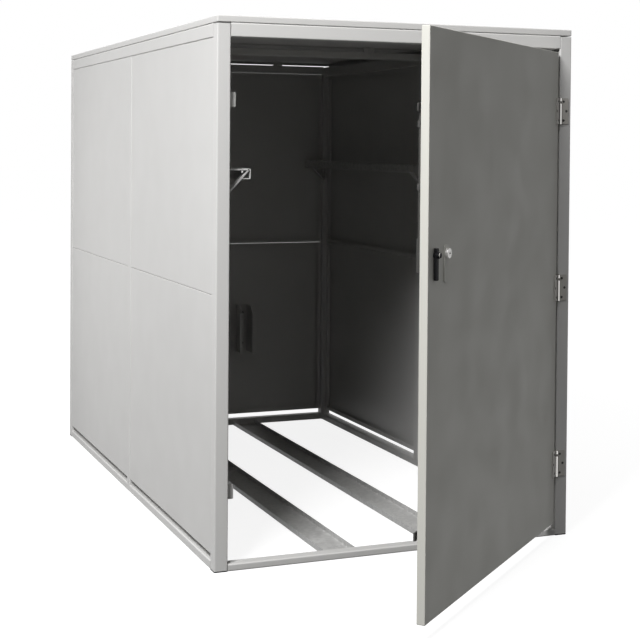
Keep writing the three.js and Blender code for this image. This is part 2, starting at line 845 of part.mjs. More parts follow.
function buildHandle() {
  const outline = roundedRectangle(new THREE.Shape(), leverWidth, leverAbove + leverBelow, leverCorner);
  const bar = plateFromFront(outline, leverFront, leverBack);
  bar.translate(leverX, 0, handleHeight + (leverAbove - leverBelow) / 2);
  const boss = roundAlongY(bossRadius, leverX, bossFront, bossBack, handleHeight, roundSides);
  const socketSide = spindleSide + 2 * seatGap;
  const socket = squareAlongY(socketSide, leverX, leverFront, bossBack + cutOverrun, handleHeight);
  place(doorGroup, 'handle_lever', cut(join(bar, boss), socket), blackPlastic());
}

// The pinion's outline: involute flanks from the base circle out, straight and radial below it
function pinionShape() {
  const baseRadius = pitchRadius * Math.cos(pressureAngle);
  const tipRadius = pitchRadius + gearModule;
  const rootRadius = pitchRadius - pinionDedendum;
  const pitchRoll = Math.tan(pressureAngle) - pressureAngle;
  const halfTooth = (toothPitch / 2 - backlash) / 2 / pitchRadius;
  const half = [[rootRadius, halfTooth + pitchRoll]];
  for (let step = 0; step <= flankSteps; step += 1) {
    const radius = baseRadius + (tipRadius - baseRadius) * step / flankSteps;
    const angle = Math.acos(Math.min(1, baseRadius / radius));
    half.push([radius, halfTooth + pitchRoll - (Math.tan(angle) - angle)]);
  }
  const points = [];
  for (let tooth = 0; tooth < pinionTeeth; tooth += 1) {
    const middle = tooth * 2 * Math.PI / pinionTeeth;
    for (const [radius, turn] of half) {
      points.push([radius * Math.cos(middle - turn), radius * Math.sin(middle - turn)]);
    }
    for (const [radius, turn] of [...half].reverse()) {
      points.push([radius * Math.cos(middle + turn), radius * Math.sin(middle + turn)]);
    }
  }
  return polygon(points);
}

function buildPinion() {
  const wheel = plateFromFront(pinionShape(), rodY, rodBackY).translate(leverX, 0, handleHeight);
  const spindleFront = leverFront + seatGap;
  const spindle = squareAlongY(spindleSide, leverX, spindleFront, rodBackY, handleHeight);
  place(doorGroup, 'pinion', join(wheel, spindle), brightSteel());
}

// The toothed edge of a rack as offsets from its pitch line: x towards the pinion, z along the rack.
// A gap is centred on z = 0, where the pinion's tooth points along the rack's normal.
function rackEdge(lowZ, highZ) {
  const slope = Math.tan(pressureAngle);
  const halfTooth = (toothPitch / 2 - backlash) / 2;
  const halfTip = halfTooth - rackAddendum * slope;
  const halfRoot = halfTooth + rackDedendum * slope;
  const points = [[-rackDedendum, lowZ]];
  const first = Math.ceil((lowZ + halfRoot) / toothPitch - 0.5);
  const last = Math.floor((highZ - halfRoot) / toothPitch - 0.5);
  for (let tooth = first; tooth <= last; tooth += 1) {
    const middle = (tooth + 0.5) * toothPitch;
    points.push([-rackDedendum, middle - halfRoot]);
    points.push([rackAddendum, middle - halfTip]);
    points.push([rackAddendum, middle + halfTip]);
    points.push([-rackDedendum, middle + halfRoot]);
  }
  points.push([-rackDedendum, highZ]);
  return points;
}

// Each rod is a flat bar with a finger for the keeper. The upper one has its rack cut in its own edge. The
// lower one's rack is a piece of its own, welded to the rod's end, because it also carries the lock's lug.
function buildRods() {
  const fingerTip = doorLeft + fingerTipInset;
  const rackFoot = handleHeight - rackEndMargin;
  const upperOuter = upperRodX - rodWidth;
  const lowerOuter = lowerRodX + rodWidth;

  const upperRack = rackEdge(-latchTravel - rackEndMargin, rackEndMargin).map(([x, z]) => {
    return [leverX - pitchRadius + x, handleHeight + z];
  });
  const upper = polygon([
    [upperOuter, handleHeight - latchTravel - rackEndMargin],
    ...upperRack,
    [upperRodX, upperRodTop],
    [fingerTip, upperRodTop],
    [fingerTip, upperRodTop - fingerHeight],
    [upperOuter, upperRodTop - fingerHeight],
  ]);

  const lowerRack = rackEdge(-rackEndMargin, latchTravel + rackEndMargin).map(([x, z]) => {
    return [leverX + pitchRadius - x, handleHeight + z];
  });
  const lower = polygon([
    [lowerOuter, lowerRodBottom],
    [lowerOuter, rackFoot - weldGap],
    [lowerRodX, rackFoot - weldGap],
    [lowerRodX, lowerRodBottom + fingerHeight],
    [fingerTip, lowerRodBottom + fingerHeight],
    [fingerTip, lowerRodBottom],
  ]);
  const rack = polygon([
    [lowerOuter, rackFoot],
    [lowerOuter, lugBottom],
    [lowerOuter + lugReach, lugBottom],
    [lowerOuter + lugReach, lugBottom + lugHeight],
    [lowerOuter, lugBottom + lugHeight],
    [lowerOuter, handleHeight + latchTravel + rackEndMargin],
    ...lowerRack.reverse(),
  ]);
  place(doorGroup, 'rod_upper', plateFromFront(upper, rodY, rodBackY), brightSteel());
  place(doorGroup, 'rod_lower', plateFromFront(lower, rodY, rodBackY), brightSteel());
  place(doorGroup, 'rack_lower', plateFromFront(rack, rodY, rodBackY), brightSteel());
}

// Gear case: a channel on the stile, open to the back and at both ends, with a window for the cam
function buildGearCase() {
  const left = upperRodX - rodWidth - runGap - caseSheet;
  const right = lowerRodX + rodWidth + runGap + caseSheet;
  const floor = stileY + seatGap;
  const top = floor + caseWallHeight;
  const shell = block(left, right, floor, top, caseBottom, caseTop);
  const hollow = block(
    left + caseSheet,
    right - caseSheet,
    floor + caseSheet,
    top + cutOverrun,
    caseBottom - cutOverrun,
    caseTop + cutOverrun,
  );
  const window = block(
    right - caseSheet - runGap,
    right + cutOverrun,
    floor + caseSheet,
    top + cutOverrun,
    lugBottom - latchTravel - caseWindowMargin,
    lugBottom + lugHeight + caseWindowMargin,
  );
  const [spindleHole] = lockHoles(floor - cutOverrun, top + cutOverrun);
  place(doorGroup, 'gear_case', cut(shell, hollow, window, spindleHole), galvanised());
}

// Key cylinder: a round head on a slim plate, with a turning plug and a cam behind the stile

const plateFace = frontY - seatGap - plateThickness;
const headBack = plateFace - seatGap;
const headFront = headBack - cylinderHeadDepth;
const cylinderBack = rodY - runGap;

function buildLockPlate() {
  const outline = roundedRectangle(new THREE.Shape(), plateWidth, plateAbove + plateBelow, plateCorner);
  const plate = plateFromFront(outline, plateFace, frontY - seatGap);
  plate.translate(cylinderX, 0, handleHeight + (plateAbove - plateBelow) / 2);
  const [, cylinderHole] = lockHoles(plateFace - cutOverrun, frontY + cutOverrun);
  place(doorGroup, 'lock_plate', cut(plate, cylinderHole), doorPaint());
}

function buildCylinder() {
  const bore = plugRadius + seatGap;
  const profile = [
    [bore, headFront],
    [cylinderHeadRadius - cylinderHeadBevel, headFront],
    [cylinderHeadRadius, headFront + cylinderHeadBevel],
    [cylinderHeadRadius, headBack],
    [cylinderBodyRadius, headBack],
    [cylinderBodyRadius, cylinderBack],
    [bore, cylinderBack],
    [bore, headFront],
  ].map(([radius, y]) => new THREE.Vector2(radius, y));
  const body = new THREE.LatheGeometry(profile, roundSides).translate(cylinderX, 0, handleHeight);
  place(doorGroup, 'cylinder_body', body, brightSteel());

  const plug = roundAlongY(plugRadius, cylinderX, headFront, cylinderBack, handleHeight, smallSides);
  const keyway = block(
    cylinderX - keywayWidth / 2,
    cylinderX + keywayWidth / 2,
    headFront - cutOverrun,
    headFront + keywayDepth,
    handleHeight - keywayHeight / 2,
    handleHeight + keywayHeight / 2,
  );
  place(doorGroup, 'cylinder_plug', cut(plug, keyway), brightSteel());

  const tipHalf = camTipWidth / 2;
  const tipCentre = camReach - tipHalf;
  const lean = Math.asin((camHubRadius - tipHalf) / tipCentre);
  const cam = new THREE.Shape();
  cam.absarc(0, 0, camHubRadius, Math.PI - lean, lean, false);
  cam.absarc(0, tipCentre, tipHalf, lean, Math.PI - lean, false);
  cam.closePath();
  const tongue = extrudeUp(cam, camThickness, smallSides / 2).applyMatrix4(throughY);
  tongue.translate(cylinderX, cylinderBack + seatGap + camThickness, handleHeight);
  place(doorGroup, 'lock_cam', tongue, brightSteel());
}

// Assembly

buildPosts();
buildFootCaps();
buildCrossRails();
buildSideTubes();
buildSidePanels();
buildRearPanels();
buildRoof();
buildWheelChannels();
buildWheelHolders();
buildSideRails();
buildKeepers();
buildDoorLeaf();
buildDoorFrame();
buildHinges();
buildHandle();
buildPinion();
buildRods();
buildGearCase();
buildLockPlate();
buildCylinder();

// The door turns on its hinge pins: its pieces move to the pin's axis, turn, and move back
for (const piece of doorGroup.children) {
  piece.geometry.translate(-hingeX, -hingeY, 0);
}
doorGroup.position.set(hingeX, hingeY, 0);
doorGroup.rotation.z = doorOpenAngle;
locker.add(doorGroup);

export default locker;
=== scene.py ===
"""A bicycle locker dressed with folded sheet, square tube, hinges, handle and lock."""

import json
import math

import bmesh
import bpy
from bpy.props import FloatProperty, FloatVectorProperty, PointerProperty
from mathutils import Matrix, Vector


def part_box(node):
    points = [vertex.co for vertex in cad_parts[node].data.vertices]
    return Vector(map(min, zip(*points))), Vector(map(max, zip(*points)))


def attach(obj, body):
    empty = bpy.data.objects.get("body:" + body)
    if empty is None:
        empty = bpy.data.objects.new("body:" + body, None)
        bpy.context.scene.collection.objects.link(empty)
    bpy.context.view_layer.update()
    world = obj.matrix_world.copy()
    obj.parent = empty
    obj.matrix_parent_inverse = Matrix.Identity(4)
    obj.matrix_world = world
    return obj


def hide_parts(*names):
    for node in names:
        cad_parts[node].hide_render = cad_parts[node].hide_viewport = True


bl_info = {
    "name": "Bicycle Locker",
    "version": (1, 0, 0),
    "blender": (4, 5, 0),
    "location": "3D View > Sidebar > Locker",
    "description": "Builds the tubes, sheets, door, hinges, handle and lock of a bicycle locker",
    "category": "Object",
}

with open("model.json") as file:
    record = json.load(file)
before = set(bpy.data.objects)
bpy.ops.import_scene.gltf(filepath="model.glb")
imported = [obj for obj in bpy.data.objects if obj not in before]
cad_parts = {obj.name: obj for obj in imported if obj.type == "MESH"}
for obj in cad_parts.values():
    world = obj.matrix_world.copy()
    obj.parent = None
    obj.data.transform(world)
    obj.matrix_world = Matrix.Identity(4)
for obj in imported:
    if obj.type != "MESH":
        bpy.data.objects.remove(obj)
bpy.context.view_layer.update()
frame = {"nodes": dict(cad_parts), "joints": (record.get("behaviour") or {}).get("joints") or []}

NODES = frame["nodes"]
SIDES = (("left", -1), ("right", 1))
LEVELS = ("lower", "middle", "upper")
X, Y, Z = range(3)
AXES = (Vector((1, 0, 0)), Vector((0, 1, 0)), Vector((0, 0, 1)))
FACING = Matrix.Rotation(math.pi / 2, 4, "X")

# A hair's breadth where pieces seat on each other, and the distance below which corners are one
SEAT = 0.0003
MERGED = 1e-6

# How far pieces run into the one that they belong to: the handle's foot and boss into its bar, a hinge's
# knuckle into its leaf, a roof clip into its rail, and the two halves of the cylinder and of its plug
FOOT_BURIED = 0.002
BOSS_BURIED = 0.003
KNUCKLE_BURIED = 0.0008
CLIP_BURIED = 0.001
CYLINDER_BURIED = 0.001
PLUG_BURIED = 0.0005

# Bolt heads as radius and height, and the heights of the two bolts in a bracket's foot
HOLDER_BOLT = (0.005, 0.004)
RAIL_BOLT = (0.0045, 0.0045)
FOOT_BOLT = (0.004, 0.003)
FOOT_BOLT_HEIGHTS = (0.022, 0.052)

# Places of the lights, what they are aimed at, the camera's place with its yaw, pitch and roll in
# degrees, and how far the floor lies under the feet
FRONT_LIGHT = (-2.77, -2.2, 4.0)
SIDE_LIGHT = (-1.89, 1.72, 0.99)
LIGHTS_AIM = Vector((-0.4, 0.3, 0.9))
CAMERA_PLACE = (-1.7374, -3.7299, 1.1979)
CAMERA_ANGLES = (21.709, -1.187, 0.437)
FLOOR_DROP = 0.0005

# The door's pieces are made shut and then swung open with the door
DOOR_HINGE = next(joint for joint in frame["joints"] if joint["name"] == "door_hinge")
HINGE_AXIS = Vector(DOOR_HINGE["pos_m"])
DOOR_OPEN = (
    Matrix.Translation(HINGE_AXIS)
    @ Matrix.Rotation(math.radians(-DOOR_HINGE["range_deg"][0]), 4, "Z")
    @ Matrix.Translation(-HINGE_AXIS)
)
DOOR_SHUT = DOOR_OPEN.inverted()


# Sizes and colours that a user would change


def length(name, text, default, most=0.2):
    return FloatProperty(
        name=name, description=text, default=default, min=0.0001, max=most, unit="LENGTH", precision=4
    )


def share(name, text, default):
    return FloatProperty(name=name, description=text, default=default, min=0, max=1, subtype="FACTOR")


def watts(name, text, default):
    return FloatProperty(name=name, description=text, default=default, min=0, unit="POWER")


def colour(name, text, default):
    return FloatVectorProperty(
        name=name, description=text, default=default, size=3, min=0, max=1, subtype="COLOR"
    )


class LockerSheetSizes(bpy.types.PropertyGroup):
    """Sizes of the square tubes and the folded sheets"""

    tube_side: length("Tube side", "Side of the frame's square tube", 0.04)
    tube_wall: length("Tube wall", "Wall of the frame's square tube", 0.002)
    tube_corner: length("Tube corner", "Outer corner radius of the square tube", 0.004)
    panel_sheet: length("Panel sheet", "Thickness of the wall and roof sheets", 0.0015)
    panel_lip: length("Panel lip", "Width of the lip folded round a wall panel's mouth", 0.014)
    door_lip: length("Door lip", "Width of the lip folded round the door leaf's mouth", 0.012)
    fold_radius: length("Fold radius", "Outer radius of a fold in thin sheet", 0.0019)
    side_closing: length("Side closing", "How far each side panel reaches into its wall's joint", 0.0014)
    rear_closing: length("Rear closing", "How far each rear panel reaches into the gaps beside it", 0.0009)
    roof_fold: length("Roof fold", "Outer radius of the folds in the roof sheets", 0.003)
    post_groove: length("Post groove", "Height of the groove between a post's top and the roof", 0.0022)
    roof_hem: length("Roof hem", "Height of the short fold where the two roof sheets meet", 0.006)
    roof_rear_hem: length("Rear hem", "Height of the roof's fold at the back, over its open slot", 0.013)
    roof_return: length("Roof return", "Width of the lip folded in under the roof's skirts", 0.012)
    channel_sheet: length("Channel sheet", "Thickness of the wheel channels", 0.002)
    holder_sheet: length("Holder sheet", "Thickness of the wheel holders", 0.003)
    holder_chamfer: length("Holder chamfer", "Corner cut off the top of a wheel holder", 0.03)
    holder_lip: length("Holder lip", "Width of a wheel holder's front lips", 0.009)
    rail_sheet: length("Side rail sheet", "Thickness of the side rails", 0.0025)
    rail_flange: length("Side rail flange", "Width of a side rail's flanges", 0.03)
    rail_height: length("Side rail height", "Height of a side rail's channel", 0.03)
    bracket_width: length("Bracket width", "Width of a side rail's bracket", 0.025)
    bracket_sheet: length("Bracket sheet", "Thickness of a bracket's flat bar", 0.004)
    clip_sheet: length("Clip sheet", "Thickness of the roof clips", 0.0025)
    clip_width: length("Clip width", "Width of a roof clip", 0.04)
    clip_tab: length("Clip tab", "Width of a roof clip's hook", 0.015)
    clip_depth: length("Clip depth", "Depth of a roof clip's channel", 0.014)
    clip_fold: length("Clip fold", "Outer radius of a roof clip's folds", 0.0035)
    clip_hook: length("Clip hook", "Height of a roof clip's hooks below its rail's top", 0.013)
    clip_grip: length("Clip grip", "Height of a roof clip's hooks above the clip's foot", 0.004)
    clip_place: length("Clip place", "Distance of a roof clip from the locker's middle", 0.316, 1)
    rail_rise: length("Rail rise", "How far the rails with clips stand above the posts", 0.002)
    cap_flange: length("Cap flange", "Thickness of a foot cap's flange", 0.003)
    channel_fold: length("Channel fold", "Outer radius of a wheel channel's folds", 0.004)
    holder_fold: length("Holder fold", "Outer radius of a wheel holder's folds", 0.0015)
    holder_bolt: length("Holder bolt", "Height of a wheel holder's bolts from its ends", 0.035)
    rail_fold: length("Side rail fold", "Outer radius of a side rail's folds", 0.0035)
    rail_gap: length("Side rail gap", "Gap between a side rail's end and the front post", 0.0008)
    bracket_foot: length("Bracket foot", "Width of a bracket's foot on its post", 0.0183)
    bolt_inset: length("Bolt inset", "Distance of a bracket's bolts from the edges beside them", 0.009)
    weld_end: length("Weld end", "Height of a keeper's ends that its weld leaves free", 0.004)


class LockerHardwareSizes(bpy.types.PropertyGroup):
    """Sizes of the hinges, handle and lock"""

    leaf_thickness: length("Hinge leaf", "Thickness of a hinge leaf", 0.0025)
    barrel_room: length("Barrel room", "Room that a hinge's leaves leave round its axis", 0.005)
    knuckle_radius: length("Knuckle", "Outer radius of a hinge's knuckles", 0.0035)
    knuckle_gap: length("Knuckle gap", "How far each knuckle ends from the line between them", 0.0036)
    pin_radius: length("Hinge pin", "Radius of a hinge pin", 0.002)
    play: length("Play", "Clearance between turning pieces", 0.0003)
    screw_head: length("Screw head", "Radius of a countersunk screw head", 0.0042)
    screw_room: length("Screw room", "Gap round a countersunk head in its leaf", 0.0001)
    screw_spread: length("Screw spread", "Height between a hinge's screws", 0.029)
    screw_stagger: length("Screw stagger", "Sideways step between a hinge's screws", 0.005)
    knuckle_share: share("Knuckle share", "Share of a hinge's height that the post's knuckle takes", 0.83)
    pin_head: length("Pin head", "Thickness of a hinge pin's head", 0.002)
    leaf_corner: length("Leaf corner", "Corner radius of a hinge leaf", 0.003)
    screw_sunk: length("Screw sunk", "Depth of the screws' heads under a leaf's face", 0.0003)
    lever_corner: length("Lever corner", "Corner radius of the handle's bar", 0.004)
    lever_depth: length("Lever depth", "Depth of the handle's bar", 0.007)
    lever_width: length("Lever width", "Greatest width of the handle's bar", 0.0145)
    lever_lift: length("Lever lift", "Gap between the handle's bar and the door", 0.0015)
    boss_radius: length("Boss radius", "Radius of the handle's round boss", 0.0082)
    collar_radius: length("Collar radius", "Radius of the collar under the boss's cap", 0.0058)
    collar_depth: length("Collar depth", "Depth of the collar under the boss's cap", 0.0026)
    cap_radius: length("Cap radius", "Radius of the boss's cap", 0.0063)
    cap_depth: length("Cap depth", "Depth of the boss's cap", 0.0012)
    floor_radius: length("Socket floor", "Radius of the disc that closes the cap's socket", 0.003)
    floor_depth: length("Socket floor depth", "Depth of the disc that closes the cap's socket", 0.0004)
    collar_drop: length("Collar drop", "Distance from the cap's face back to the collar's foot", 0.0036)
    boss_drop: length("Boss drop", "Distance from the cap's face back to the boss's", 0.0032)
    collar_bore: length("Collar bore", "Radius of the collar's hole", 0.0035)
    cap_socket: length("Cap socket", "Radius of the six-sided socket in the cap", 0.0022)
    spindle_side: length("Spindle side", "Side of the handle's square spindle", 0.008)
    spindle_room: length("Spindle room", "Gap round the spindle's corners in the door leaf", 0.0004)
    head_depth: length("Cylinder head", "Depth of the key cylinder's head", 0.0083)
    head_bevel: length("Cylinder bevel", "Bevel round the key cylinder's head", 0.0012)
    body_radius: length("Cylinder body", "Radius of the key cylinder behind its head", 0.0095)
    keyway_width: length("Keyway width", "Width of the keyway", 0.0078)
    keyway_height: length("Keyway height", "Height of the keyway", 0.0046)
    keyway_depth: length("Keyway depth", "Depth of the keyway", 0.012)
    ward_room: length("Ward room", "Gap round the wards in the keyway", 0.0002)
    ward_drop: length("Ward drop", "How far inside the keyway the wards start", 0.002)
    ward_end: length("Ward end", "How far inside the keyway the wards end", 0.011)
    plate_corner: length("Plate corner", "Corner radius of the lock plate", 0.006)
    keeper_corner: length("Keeper corner", "Corner radius of a keeper tab", 0.003)
    latch_ease: length("Latch edges", "Width of the eased edges of the latch's pieces", 0.0003)


class LockerColours(bpy.types.PropertyGroup):
    """Colours of the finishes"""

    frame_paint: colour("Frame paint", "Powder coat on the tubes", (0.555, 0.55, 0.54))
    panel_paint: colour("Panel paint", "Powder coat on the wall and roof sheets", (0.55, 0.545, 0.535))
    # The door's paint has less blue than the frame's: painted warm shade on the door's face over its own grey
    door_paint: colour("Door paint", "Powder coat on the door", (0.545, 0.54, 0.5))
    galvanised: colour("Galvanised", "Zinc coat of the channels, holders and side rails", (0.49, 0.488, 0.48))
    hinge_steel: colour("Hinge steel", "Dull passivated hinge leaves", (0.4, 0.385, 0.36))
    # The screws' and bolts' own dark tone, and painted shade on the latch, its gear case, the keyway and the
    # rod guides
    dark_steel: colour("Dark steel", "Blackened screws, latch rods and gear case", (0.05, 0.049, 0.047))
    bright_steel: colour("Bright steel", "Polished knuckles, pins and small bolts", (0.62, 0.61, 0.59))
    satin_nickel: colour("Satin nickel", "Key cylinder and its plug", (0.68, 0.67, 0.65))
    black_plastic: colour("Black", "Black handle and foot caps", (0.012, 0.012, 0.013))


class LockerStage(bpy.types.PropertyGroup):
    """Light, floor and camera"""

    lens: FloatProperty(
        name="Lens", description="Focal length of the camera", default=78.46, min=10, max=300, unit="CAMERA"
    )
    front_watts: watts("Front light", "Power of the soft box at the left front", 312)
    front_size: length("Front light size", "Side of the soft box at the left front", 1.5, 10)
    side_size: length("Side light size", "Side of the soft box at the left rear", 1.22, 10)
    side_watts: watts("Side light", "Power of the soft box at the left rear", 10.8)
    sky: share("Sky", "Strength of the light from overhead", 0.96)
    floor: share("Floor", "How pale the floor is to the light that falls on it", 0.04)
    paper: share("Paper", "How brightly the floor shows to the camera", 0.87)
    shadow: share("Shadow", "How clearly the floor keeps the locker's shadow", 0.27)


# Finishes


class Finish:
    """A material under construction: its nodes, links and shader"""

    def __init__(self, name):
        self.material = bpy.data.materials.new(name)
        self.material.use_nodes = True
        self.nodes = self.material.node_tree.nodes
        self.shader = self.nodes["Principled BSDF"]
        self.place = self.nodes.new("ShaderNodeTexCoord").outputs["Object"]

    def join(self, source, target):
        self.material.node_tree.links.new(source, target)

    def noise(self, scale, detail=2.0, roughness=0.5, stretch=None):
        texture = self.nodes.new("ShaderNodeTexNoise")
        texture.inputs["Scale"].default_value = scale
        texture.inputs["Detail"].default_value = detail
        texture.inputs["Roughness"].default_value = roughness
        self.join(self.stretched(stretch) if stretch else self.place, texture.inputs["Vector"])
        return texture.outputs["Fac"]

    def stretched(self, stretch):
        mapping = self.nodes.new("ShaderNodeMapping")
        mapping.inputs["Scale"].default_value = stretch
        self.join(self.place, mapping.inputs["Vector"])
        return mapping.outputs["Vector"]

    def flakes(self, scale):
        texture = self.nodes.new("ShaderNodeTexVoronoi")
        texture.inputs["Scale"].default_value = scale
        self.join(self.place, texture.inputs["Vector"])
        return texture.outputs["Color"]

    def ramp(self, factor, dark, light, low=0.3, high=0.7):
        ramp = self.nodes.new("ShaderNodeValToRGB")
        first, last = ramp.color_ramp.elements
        first.position, last.position = low, high
        first.color, last.color = (*dark, 1), (*light, 1)
        self.join(factor, ramp.inputs["Fac"])
        return ramp.outputs["Color"]

    def range(self, factor, low, high):
        mapped = self.nodes.new("ShaderNodeMapRange")
        mapped.inputs["From Min"].default_value = 0.3
        mapped.inputs["From Max"].default_value = 0.7
        mapped.inputs["To Min"].default_value = low
        mapped.inputs["To Max"].default_value = high
        self.join(factor, mapped.inputs["Value"])
        return mapped.outputs["Result"]

    def bump(self, height, strength, distance, under=None):
        bump = self.nodes.new("ShaderNodeBump")
        bump.inputs["Strength"].default_value = strength
        bump.inputs["Distance"].default_value = distance
        self.join(height, bump.inputs["Height"])
        if under is not None:
            self.join(under, bump.inputs["Normal"])
        return bump.outputs["Normal"]

    def tint(self, tone, spread, scale, detail=3.0, stretch=None):
        dark = [value * (1 - spread) for value in tone]
        light = [min(1, value * (1 + spread)) for value in tone]
        drift = self.noise(scale, detail, stretch=stretch)
        self.join(self.ramp(drift, dark, light), self.shader.inputs["Base Color"])

    def set(self, **values):
        for name, value in values.items():
            self.shader.inputs[name.replace("_", " ")].default_value = value


def powder_coat(name, tone, waviness):
    """Satin powder coat: fine orange peel, a slow drift of tone, and the sheet's own slight waves"""
    finish = Finish(name)
    finish.tint(tone, 0.012, 1.6)
    finish.join(finish.range(finish.noise(9, 4), 0.44, 0.54), finish.shader.inputs["Roughness"])
    waves = finish.bump(finish.noise(1.1, 1), waviness, 0.004)
    peel = finish.bump(finish.noise(520, 2), 0.12, 0.00025, waves)
    finish.join(peel, finish.shader.inputs["Normal"])
    finish.set(Specular_IOR_Level=0.22)
    return finish.material


def powder_coat_with_shade_past_plane(name, tone, waviness, shade_tone, point, normal):
    """Powder coat, with what lies past a plane given a dark tone that is painted shade"""
    material = powder_coat(name, tone, waviness)
    nodes, links = material.node_tree.nodes, material.node_tree.links
    place = next(node for node in nodes if node.type == "TEX_COORD").outputs["Object"]
    paint = nodes["Principled BSDF"].inputs["Base Color"]
    painted = paint.links[0].from_socket
    reach, past, mixed = (nodes.new(f"ShaderNode{kind}") for kind in ("VectorMath", "Math", "Mix"))
    reach.operation, past.operation, mixed.data_type = "DOT_PRODUCT", "GREATER_THAN", "RGBA"
    reach.inputs[1].default_value = normal
    past.inputs[1].default_value = point.dot(normal)
    mixed.inputs["B"].default_value = (*shade_tone, 1)
    links.new(place, reach.inputs[0])
    links.new(reach.outputs["Value"], past.inputs[0])
    links.new(past.outputs["Value"], mixed.inputs["Factor"])
    links.new(painted, mixed.inputs["A"])
    links.new(mixed.outputs["Result"], paint)
    return material


def zinc_spangle(name, tone):
    """Hot dip zinc: small flat crystals that differ in tone and gloss"""
    finish = Finish(name)
    flakes = finish.flakes(95)
    dark, light = [value * 0.86 for value in tone], [value * 1.08 for value in tone]
    finish.join(finish.ramp(flakes, dark, light, 0.2, 0.8), finish.shader.inputs["Base Color"])
    finish.join(finish.range(flakes, 0.38, 0.56), finish.shader.inputs["Roughness"])
    finish.join(finish.bump(finish.noise(160, 3), 0.12, 0.0003), finish.shader.inputs["Normal"])
    finish.set(Metallic=0.12, Specular_IOR_Level=0.25)
    return finish.material


def rolled_steel(name, tone, gloss, scratch, metal=1.0, glint=0.5):
    """Nickelled, passivated or blackened steel with fine drawn lines along its height; blackened is also
    painted shade
    """
    finish = Finish(name)
    lines = (1, 1, 0.04)
    finish.tint(tone, 0.05, 420, 3, lines)
    shine = finish.range(finish.noise(700, 3, stretch=lines), *gloss)
    finish.join(shine, finish.shader.inputs["Roughness"])
    drawn = finish.bump(finish.noise(900, 2, stretch=lines), scratch, 0.0001)
    finish.join(drawn, finish.shader.inputs["Normal"])
    finish.set(Metallic=metal, Specular_IOR_Level=glint)
    return finish.material


def moulded_black(name, tone):
    """Black coat or moulding with a fine spark-eroded grain"""
    finish = Finish(name)
    finish.tint(tone, 0.2, 60)
    finish.join(finish.range(finish.noise(300, 3), 0.36, 0.5), finish.shader.inputs["Roughness"])
    finish.join(finish.bump(finish.noise(1400, 2), 0.15, 0.00015), finish.shader.inputs["Normal"])
    finish.set(Specular_IOR_Level=0.02)
    return finish.material


def finish_for(slot):
    """The material of a finish, made the first time that it is asked for"""
    name = slot + "_finish"
    found = bpy.data.materials.get(name)
    if found:
        return found
    tones = bpy.context.scene.locker_colours
    if slot in ("frame_paint", "panel_paint", "door_paint"):
        waviness = {"frame_paint": 0.02, "panel_paint": 0.16, "door_paint": 0.1}[slot]
        return powder_coat(name, getattr(tones, slot), waviness)
    # The rod guides behind the door are painted like the door, but take the dark tone here as painted shade
    if slot == "door_frame":
        back, _ = shut_box("gear_case")
        inward = DOOR_OPEN.to_3x3() @ AXES[Y]
        return powder_coat_with_shade_past_plane(name, tones.door_paint, 0.1, tones.dark_steel, DOOR_OPEN @ back, inward)
    if slot == "galvanised":
        return zinc_spangle(name, tones.galvanised)
    if slot == "hinge_steel":
        return rolled_steel(name, tones.hinge_steel, (0.38, 0.5), 0.1, 0, 0.3)
    if slot == "dark_steel":
        return rolled_steel(name, tones.dark_steel, (0.4, 0.5), 0.1, 0, 0.15)
    if slot == "satin_nickel":
        return rolled_steel(name, tones.satin_nickel, (0.34, 0.46), 0.06, 0.55)
    if slot == "bright_steel":
        return rolled_steel(name, tones.bright_steel, (0.07, 0.13), 0.04)
    return moulded_black(name, tones.black_plastic)


# Measuring and placing


def shut_box(node):
    """Lowest and highest corner of a door's node with the door shut"""
    corners = [DOOR_SHUT @ vertex.co for vertex in NODES[node].data.vertices]
    return Vector(map(min, *corners)), Vector(map(max, *corners))


def at_front(x, y, z):
    """Turns a shape that was drawn lying down, its top up, so that its top faces the front"""
    return Matrix.Translation((x, y, z)) @ FACING


def faced(shape, x, y, z):
    return moved(shape, at_front(x, y, z))


def make_piece(name, shape, slot, body, nodes=(), finish=None):
    """Puts a finished shape in the scene with its material, and makes it ride on its body"""
    if body != "frame":
        shape.transform(DOOR_OPEN)
    mesh = bpy.data.meshes.new(name)
    shape.to_mesh(mesh)
    shape.free()
    mesh.shade_smooth()
    mesh.set_sharp_from_angle(angle=math.radians(38))
    mesh.materials.append(finish_for(finish or slot))
    piece = bpy.data.objects.new(name, mesh)
    bpy.context.scene.collection.objects.link(piece)
    weights = piece.modifiers.new("Flat faces stay flat", "WEIGHTED_NORMAL")
    weights.keep_sharp = True
    if nodes:
        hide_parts(*nodes)
    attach(piece, body)
    return piece


# Shapes


def joined(*shapes):
    """One mesh from several"""
    whole = bmesh.new()
    for shape in shapes:
        carrier = bpy.data.meshes.new("carrier")
        shape.to_mesh(carrier)
        shape.free()
        whole.from_mesh(carrier)
        bpy.data.meshes.remove(carrier)
    return whole


def moved(shape, place):
    shape.transform(place)
    return shape


def runs_along(edge, axis):
    way = (edge.verts[1].co - edge.verts[0].co).normalized()
    return abs(way[axis]) > 0.9


def soften(shape, parts, radius, steps=3, affect="EDGES"):
    """Rounds edges, or the corners of a flat shape"""
    bmesh.ops.bevel(
        shape,
        geom=list(parts),
        offset=radius,
        offset_type="OFFSET",
        segments=steps,
        profile=0.5,
        affect=affect,
        material=-1,
        clamp_overlap=True,
    )


def new_corners(made):
    return [item for item in made if isinstance(item, bmesh.types.BMVert)]


def chain(shape, points, closed=False):
    """Edges from point to point, and back to the first where asked"""
    corners = [shape.verts.new(point) for point in points]
    following = corners[1:] + corners[:1] if closed else corners[1:]
    return [shape.edges.new(pair) for pair in zip(corners, following)]


def drawn_out(shape, edges, way):
    """Draws edges out to faces, and gives what that made"""
    made = bmesh.ops.extrude_edge_only(shape, edges=edges)["geom"]
    bmesh.ops.translate(shape, verts=new_corners(made), vec=way)
    return made


def folds(shape):
    """Edges where two faces meet at a clear angle"""
    return [e for e in shape.edges if len(e.link_faces) == 2 and e.calc_face_angle() > math.radians(30)]


